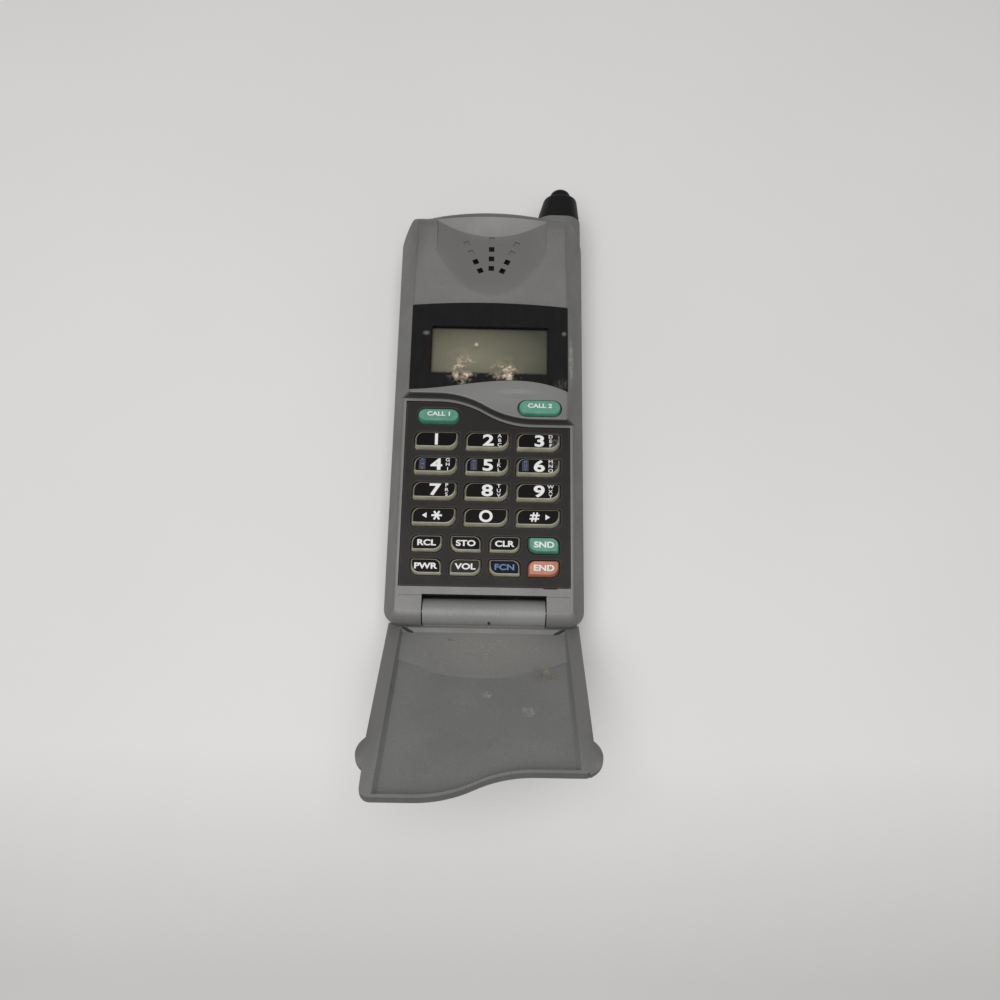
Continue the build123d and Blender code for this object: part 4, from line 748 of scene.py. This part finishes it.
view_half, view_low, view_high = 17.4 * mm, 23.7 * mm, 38.6 * mm
window_top, edge_sharpness, clear_alpha = 26.3, 1600.0, 0.14
lens_material, tree, shader, place = new_material("window_acrylic")
parts = tree.nodes.new("ShaderNodeSeparateXYZ")
tree.links.new(place, parts.inputs["Vector"])
beside = calc(tree, "SUBTRACT", calc(tree, "ABSOLUTE", parts.outputs["X"]), view_half)
off_middle = calc(tree, "SUBTRACT", parts.outputs["Y"], (view_low + view_high) / 2)
above = calc(tree, "SUBTRACT", calc(tree, "ABSOLUTE", off_middle), (view_high - view_low) / 2)
outside = calc(tree, "MULTIPLY", calc(tree, "MAXIMUM", beside, above), edge_sharpness)
outside = calc(tree, "ADD", outside, 0.5, True)
print_alpha = calc(tree, "ADD", calc(tree, "MULTIPLY", outside, 1.0 - clear_alpha), clear_alpha)


def window_spot(x, y, wide, high, softness):
    """A soft spot on the window's top; all measures in mm."""
    return blot(tree, place, (x, y, window_top), (wide, high, 2.0), softness)


# the print and the two indicator lamps behind it
scratches = noise(tree, place, 700.0, 6.0, 0.7, (1.0, 0.25, 1.0))
back_print = ramp(tree, scratches, [(0.3, (0.0025, 0.0025, 0.0030)), (0.8, (0.006, 0.006, 0.006))])
lamps = calc(tree, "MAXIMUM", window_spot(-19.0, 36.3, 1.3, 0.9, 0.8), window_spot(22.3, 36.8, 0.9, 0.9, 0.8))
marked = mix(tree, lamps, back_print, (0.13, 0.13, 0.13))

# the right lower corner, rubbed in streaks
streaks = ramp(tree, scratches, [(0.46, 0.0), (0.60, 0.6)])
rubbed = calc(tree, "MULTIPLY", window_spot(22.6, 20.2, 4.4, 2.4, 0.9), streaks)
marked = mix(tree, rubbed, marked, (0.16, 0.155, 0.145))

# painted glints: two ragged patches of light caught in scratches, and one painted bright dot
glints = ramp(tree, noise(tree, place, 1300.0, 8.0, 0.85), [(0.44, 0.0), (0.58, 1.0)])
glint_areas = calc(tree, "MAXIMUM", window_spot(-8.3, 25.6, 5.4, 7.2, 1.0), window_spot(4.6, 24.8, 6.2, 5.4, 1.0))
ragged = calc(tree, "MULTIPLY", calc(tree, "SUBTRACT", noise(tree, place, 420.0, 3.0, 0.6), 0.5), 3.2)
patches = calc(tree, "ADD", calc(tree, "SUBTRACT", glint_areas, 0.12), ragged, True)
patches = calc(tree, "MULTIPLY", patches, calc(tree, "MULTIPLY", glint_areas, 3.0, True))
glint_haze = calc(tree, "MULTIPLY", patches, calc(tree, "ADD", calc(tree, "MULTIPLY", glints, 0.7), 0.32))
bright_dot = calc(tree, "MULTIPLY", window_spot(-3.9, 32.8, 0.95, 0.95, 0.7), 0.75)
scratch_glints = calc(tree, "MAXIMUM", glint_haze, bright_dot)

tree.links.new(mix(tree, scratch_glints, marked, (0.98, 0.80, 0.60)), shader.inputs["Base Color"])
tree.links.new(ramp(tree, scratches, [(0.35, 0.07), (0.8, 0.20)]), shader.inputs["Roughness"])
tree.links.new(calc(tree, "MAXIMUM", print_alpha, calc(tree, "MULTIPLY", scratch_glints, 0.9)), shader.inputs["Alpha"])
lens_material.surface_render_method = "DITHERED"
smooth_copy("display_lens", "display_window", "handset", lens_material, angle=30.0)

lcd_material, tree, shader, place = new_material("liquid_crystal")
wave = noise(tree, place, 90.0, 3.0, 0.5)
cell = ramp(tree, wave, [(0.3, (0.340, 0.325, 0.225)), (0.7, (0.400, 0.385, 0.265))])
# painted shade darkens the cell towards its edges, around a lit spot a little left of and below its middle
lit_middle = blot(tree, place, (-4.5, 29.5, 24.0), (24.0, 12.0, 12.0), 1.0)
tree.links.new(mix(tree, lit_middle, (0.100, 0.098, 0.066), cell), shader.inputs["Base Color"])
shader.inputs["Roughness"].default_value = 0.35
dress(["lcd_glass"], lcd_material)
white_plastic = moulded_plastic(
    "guide_white", (0.62, 0.62, 0.60), 0.35, grain=1500.0, grain_depth=0.1, glitter=0.05
)
dress(["lcd_frame", "lcd_light_guide"], white_plastic)

zebra, tree, shader, place = new_material("zebra_rubber")
stripes = tree.nodes.new("ShaderNodeTexWave")
stripes.inputs["Scale"].default_value = 900.0
tree.links.new(place, stripes.inputs["Vector"])
striped = ramp(tree, stripes.outputs["Fac"], [(0.4, 0.02), (0.6, (0.45, 0.45, 0.42))])
tree.links.new(striped, shader.inputs["Base Color"])
shader.inputs["Roughness"].default_value = 0.6
dress(["lcd_connector_strips"], zebra)


# ---------------------------------------------------------------- keypad cover
# Two mouldings cemented round their edges: the dished inside with the hinge barrel
# between the lugs, and the smooth outside. The dish is painted lighter near the hinge
# and carries painted shade on its walls, rims and ears, with pale dust and crumbs on it.

cover_plastic = moulded_plastic("cover_grey", (0.205, 0.205, 0.200), 0.47, grain_depth=0.3, glitter=0.3)
open_angle = 133.5
open_turn = Matrix.Rotation(math.radians(-open_angle), 3, "X")  # from the open cover to the shut one
hinge_line = Vector((0.0, -46.0, 18.0))
cover_tones = (
    (-0.72, (17.3, 0.2, -open_end), (open_end, 3.2, open_end), lambda facing: facing.z > -0.8),  # painted shade in the slits under the lugs
    (0.0, below, (open_end, 2.2, open_end), None),  # barrel and its neck
    (-0.10, (-1.0, -open_end, 5.4), beyond, lambda facing: facing.z < -0.98),  # painted shade on the deep field of the dish
    (0.03, (-1.0, -open_end, 4.9), beyond, lambda facing: facing.z < -0.98),  # painted light on the near shelf of the dish
    (0.0, below, beyond, lambda facing: facing.z < -0.98),  # rim
    (-0.48, (-1.0, -open_end, 3.1), (open_end, 5.0, open_end), lambda facing: facing.y > 0.4),  # painted shade on the near wall
    (-0.60, (-1.0, 45.0, -open_end), beyond, lambda facing: facing.y < -0.6),  # painted shade on the far wall, inside
    (-0.50, (-1.0, 40.0, -open_end), beyond, lambda facing: facing.y > 0.3),  # painted shade on the far wall, outside, and its rounded edge
    (-0.42, (-1.0, -open_end, 5.0), (open_end, 25.0, 5.8), None),  # painted shade on the arc between shelf and field
)


def cover_shade(middle, normal):
    """Painted shade and light of a face, by its place on the shut cover: y is away from the hinge and z is
    upwards.
    """
    return tone_by_place(open_turn @ (middle - hinge_line), open_turn @ normal, cover_tones)


def on_open_cover(x, far, depth):
    """A spot on the open cover, from its sideways place, its distance from the hinge and its depth."""
    return hinge_line + open_turn.inverted() @ Vector((x, far, depth))


tree, place = inside(cover_plastic)
# painted light, brightening the dish near the hinge
near_light_and_dust_middle, near_light_and_dust_reach = on_open_cover(1.0, 8.0, 5.2), (26.0, 15.0, 15.0)
stain_and_light(cover_plastic, near_light_and_dust_middle, near_light_and_dust_reach, 1.0, 0.70, (0.262, 0.254, 0.238))
# more painted light on the shelf just below the barrel
stain_and_light(cover_plastic, on_open_cover(0.0, 4.0, 5.0), (25.0, 5.0, 5.0), 1.0, 0.35, (0.300, 0.292, 0.280))
# painted shade on the hinge barrel
stain_and_light(cover_plastic, hinge_line, (19.0, 4.2, 4.2), 0.2, 1.0, (0.188, 0.188, 0.184))
# painted shade on the side rims and on the ears
for side in (-1, 1):
    rim, ear = on_open_cover(25.6 * side, 25.0, 4.2), on_open_cover(29.0 * side, 43.0, 3.6)
    stain_and_light(cover_plastic, rim, (3.2, 34.0, 34.0), 0.35, 0.85, (0.158, 0.156, 0.151))
    stain_and_light(cover_plastic, ear, (3.4, 9.0, 9.0), 0.4, 1.0, (0.146, 0.144, 0.140))
moulding_gate = (1.5, -49.3, 19.7)
stain_and_light(cover_plastic, moulding_gate, (0.55, 1.0, 1.2), 0.5, 1.0, (0.012, 0.012, 0.012))
# pale dust over the same place as the painted light near the hinge
pale_dust = ramp(tree, noise(tree, place, 2100.0, 3.0, 0.7), [(0.60, 0.0), (0.67, 1.0)])
stain_and_light(cover_plastic, near_light_and_dust_middle, near_light_and_dust_reach, 1.0, 0.8, (0.50, 0.47, 0.40), within=pale_dust)
crumbs = ramp(tree, noise(tree, place, 1500.0, 5.0, 0.85), [(0.52, 0.0), (0.58, 1.0)])
for x, far, wide, colour in (
    (16.8, 19.0, 4.2, (0.075, 0.055, 0.035)), (17.5, 18.0, 2.0, (0.42, 0.36, 0.16)),
    (-23.4, 26.0, 1.6, (0.03, 0.03, 0.03)), (1.4, 27.2, 1.6, (0.55, 0.53, 0.48)),
    (12.0, 33.0, 2.2, (0.55, 0.53, 0.48)), (-9.0, 6.0, 1.2, (0.05, 0.05, 0.05)),
):
    stain_and_light(cover_plastic, on_open_cover(x, far, 5.4), (wide, wide, wide), 0.7, 1.0, colour, within=crumbs)


def cover_trim(shape):
    """Rounds the far edge of the rim, which fingers open the cover by."""
    rounding = 0.9 * mm
    far_edges = []
    for edge in shape.edges:
        middle = open_turn @ ((edge.verts[0].co + edge.verts[1].co) / 2 / mm - hinge_line)
        facings = [open_turn @ face.normal for face in edge.link_faces]
        if middle.y > 52 and middle.z < 4.4 and len(facings) == 2 and edge.is_convex:
            if min(facing.z for facing in facings) < -0.98 and max(facing.y for facing in facings) > 0.6:
                far_edges.append(edge)
    eased(shape, far_edges, rounding, 3, clamp=True)


smooth_copy(
    "flip_inner_panel", "cover_inside", "flip", cover_plastic, rule=cover_shade, trim=cover_trim
)
smooth_copy("flip_outer_cover", "cover_outside", "flip", housing_plastic)


# ---------------------------------------------------------------- hinge
# A ground steel shaft held in both lugs, two black bushes pressed into the
# barrel's ends, and a torsion spring of square wire wound round the shaft.

steel = metal("spring_steel", (0.42, 0.41, 0.40), 0.32)
black_plastic = moulded_plastic("bush_black", (0.015, 0.015, 0.015), 0.4)
dress(["hinge_shaft", "hinge_spring", "housing_screws", "latch_spring"], steel)
dress(["hinge_bushes", "accessory_connector"], black_plastic)


# ---------------------------------------------------------------- aerial
# A black collar clipped on the boss, a domed rubber-like knob seated in it, and
# a black-sleeved rod that runs down inside the handset to a turned stop.

aerial_black = moulded_plastic(
    "aerial_black", (0.006, 0.006, 0.006), 0.5, grain=2000.0, grain_depth=0.25, glitter=0.3, variation=0.1,
    specular=0.22,
)
smooth_copy("antenna_collar", "aerial_collar", "handset", aerial_black)
smooth_copy("antenna_knob", "aerial_knob", "antenna", aerial_black)
smooth_copy("antenna_mast", "aerial_rod", "antenna", aerial_black)
dress(["antenna_stop"], metal("nickel", (0.6, 0.58, 0.54), 0.25))


# ---------------------------------------------------------------- earpiece, microphone and ringer
# The receiver presses on a foam ring behind the fan of holes; the microphone
# lies in a rubber boot behind the hinge; the ringer faces the slots in the back.

speaker_metal = metal("receiver_can", (0.30, 0.30, 0.31), 0.4)
foam = rubber("foam_black", (0.02, 0.02, 0.02), roughness=0.7, glow=0.0)
dress(["earpiece_speaker", "microphone"], speaker_metal)
dress(["earpiece_gasket", "microphone_boot"], foam)
dress(["ringer"], black_plastic)


# ---------------------------------------------------------------- boards
# Logic board under the keys and radio board below it under a tin-plated can,
# both of green glass-epoxy with a solder mask.

board_green, tree, shader, place = new_material("solder_mask_green")
weave = noise(tree, place, 1400.0, 2.0, 0.5)
tracks = tree.nodes.new("ShaderNodeTexBrick")
tracks.inputs["Scale"].default_value = 320.0
tree.links.new(place, tracks.inputs["Vector"])
tracks.inputs["Color1"].default_value = (0.010, 0.085, 0.035, 1.0)
tracks.inputs["Color2"].default_value = (0.014, 0.110, 0.045, 1.0)
tracks.inputs["Mortar"].default_value = (0.020, 0.150, 0.060, 1.0)
tree.links.new(mix(tree, weave, tracks.outputs["Color"], (0.012, 0.07, 0.03)), shader.inputs["Base Color"])
shader.inputs["Roughness"].default_value = 0.3
dress(["main_board", "rf_board"], board_green)
dress(["rf_shield_can"], metal("tin_plate", (0.62, 0.62, 0.60), 0.35))
dress(["battery_contacts", "battery_terminals"], gold)


# ---------------------------------------------------------------- battery and latch
# The slide-off battery: a tough grey case with leaning edges, an inner lid with
# four hooks, six sleeved cells, and the release button with its ramped tooth.

battery_plastic = moulded_plastic("battery_grey", (0.150, 0.145, 0.136), 0.52)
smooth_copy("battery_case", "battery_shell", "battery", battery_plastic)
smooth_copy("battery_lid", "battery_inner_lid", "battery", battery_plastic)
latch_plastic = moulded_plastic("latch_grey", (0.10, 0.098, 0.094), 0.5)
smooth_copy("battery_latch", "release_button", "latch", latch_plastic)
dress(["battery_cells"], gloss_print("cell_sleeve_blue", (0.03, 0.09, 0.20), 0.25))


# ---------------------------------------------------------------- stage
# A pale matt table top, with painted shade darkening its near side, under one
# broad soft light and an even white surround.

bpy.ops.mesh.primitive_plane_add(size=3.0, location=(0.0, 0.0, 0.0))
table = bpy.context.object
table.name = "table"
# painted shade, darkest on the near side of the table
dim_from, dim_over, dim_most = -85.0 * mm, 60.0 * mm, 0.26
table_material, tree, shader, place = new_material("table_white")
pale = ramp(tree, noise(tree, place, 6.0, 4.0), [(0.3, (0.70, 0.69, 0.68)), (0.7, (0.73, 0.72, 0.71))])
parts = tree.nodes.new("ShaderNodeSeparateXYZ")
tree.links.new(place, parts.inputs["Vector"])
nearer = calc(tree, "DIVIDE", calc(tree, "SUBTRACT", dim_from, parts.outputs["Y"]), dim_over, True)
dim = calc(tree, "MULTIPLY", nearer, dim_most)
tree.links.new(mix(tree, dim, pale, (0.0, 0.0, 0.0)), shader.inputs["Base Color"])
shader.inputs["Roughness"].default_value = 0.6
table.data.materials.append(table_material)

key_data = bpy.data.lights.new("ceiling_light", "AREA")
key_data.energy = 7.9
key_data.size = 0.8
key_light = bpy.data.objects.new("ceiling_light", key_data)
key_light.location = (-0.08, -0.16, 0.95)
key_light.rotation_euler = (math.radians(9), math.radians(-5), 0)
bpy.context.scene.collection.objects.link(key_light)

surround = bpy.data.worlds.new("surround")
surround.use_nodes = True
background = surround.node_tree.nodes["Background"]
background.inputs["Color"].default_value = (1.0, 1.0, 1.0, 1.0)
background.inputs["Strength"].default_value = 0.27
bpy.context.scene.world = surround
bpy.context.scene.view_settings.view_transform = "Standard"

camera_data = bpy.data.cameras.new("camera")
camera_data.sensor_width = 36.0
camera_data.lens = 28.48
camera = bpy.data.objects.new("camera", camera_data)
right = Vector((0.99978, 0.01734, 0.01184))
down = Vector((0.01970, -0.96967, -0.24363))
forward = Vector((0.00725, 0.24381, -0.96980))
stand = Matrix.Translation((0.002317, -0.069799, 0.244475))
camera.matrix_world = stand @ Matrix((right, -down, -forward)).transposed().to_4x4()
bpy.context.scene.collection.objects.link(camera)
bpy.context.scene.camera = camera
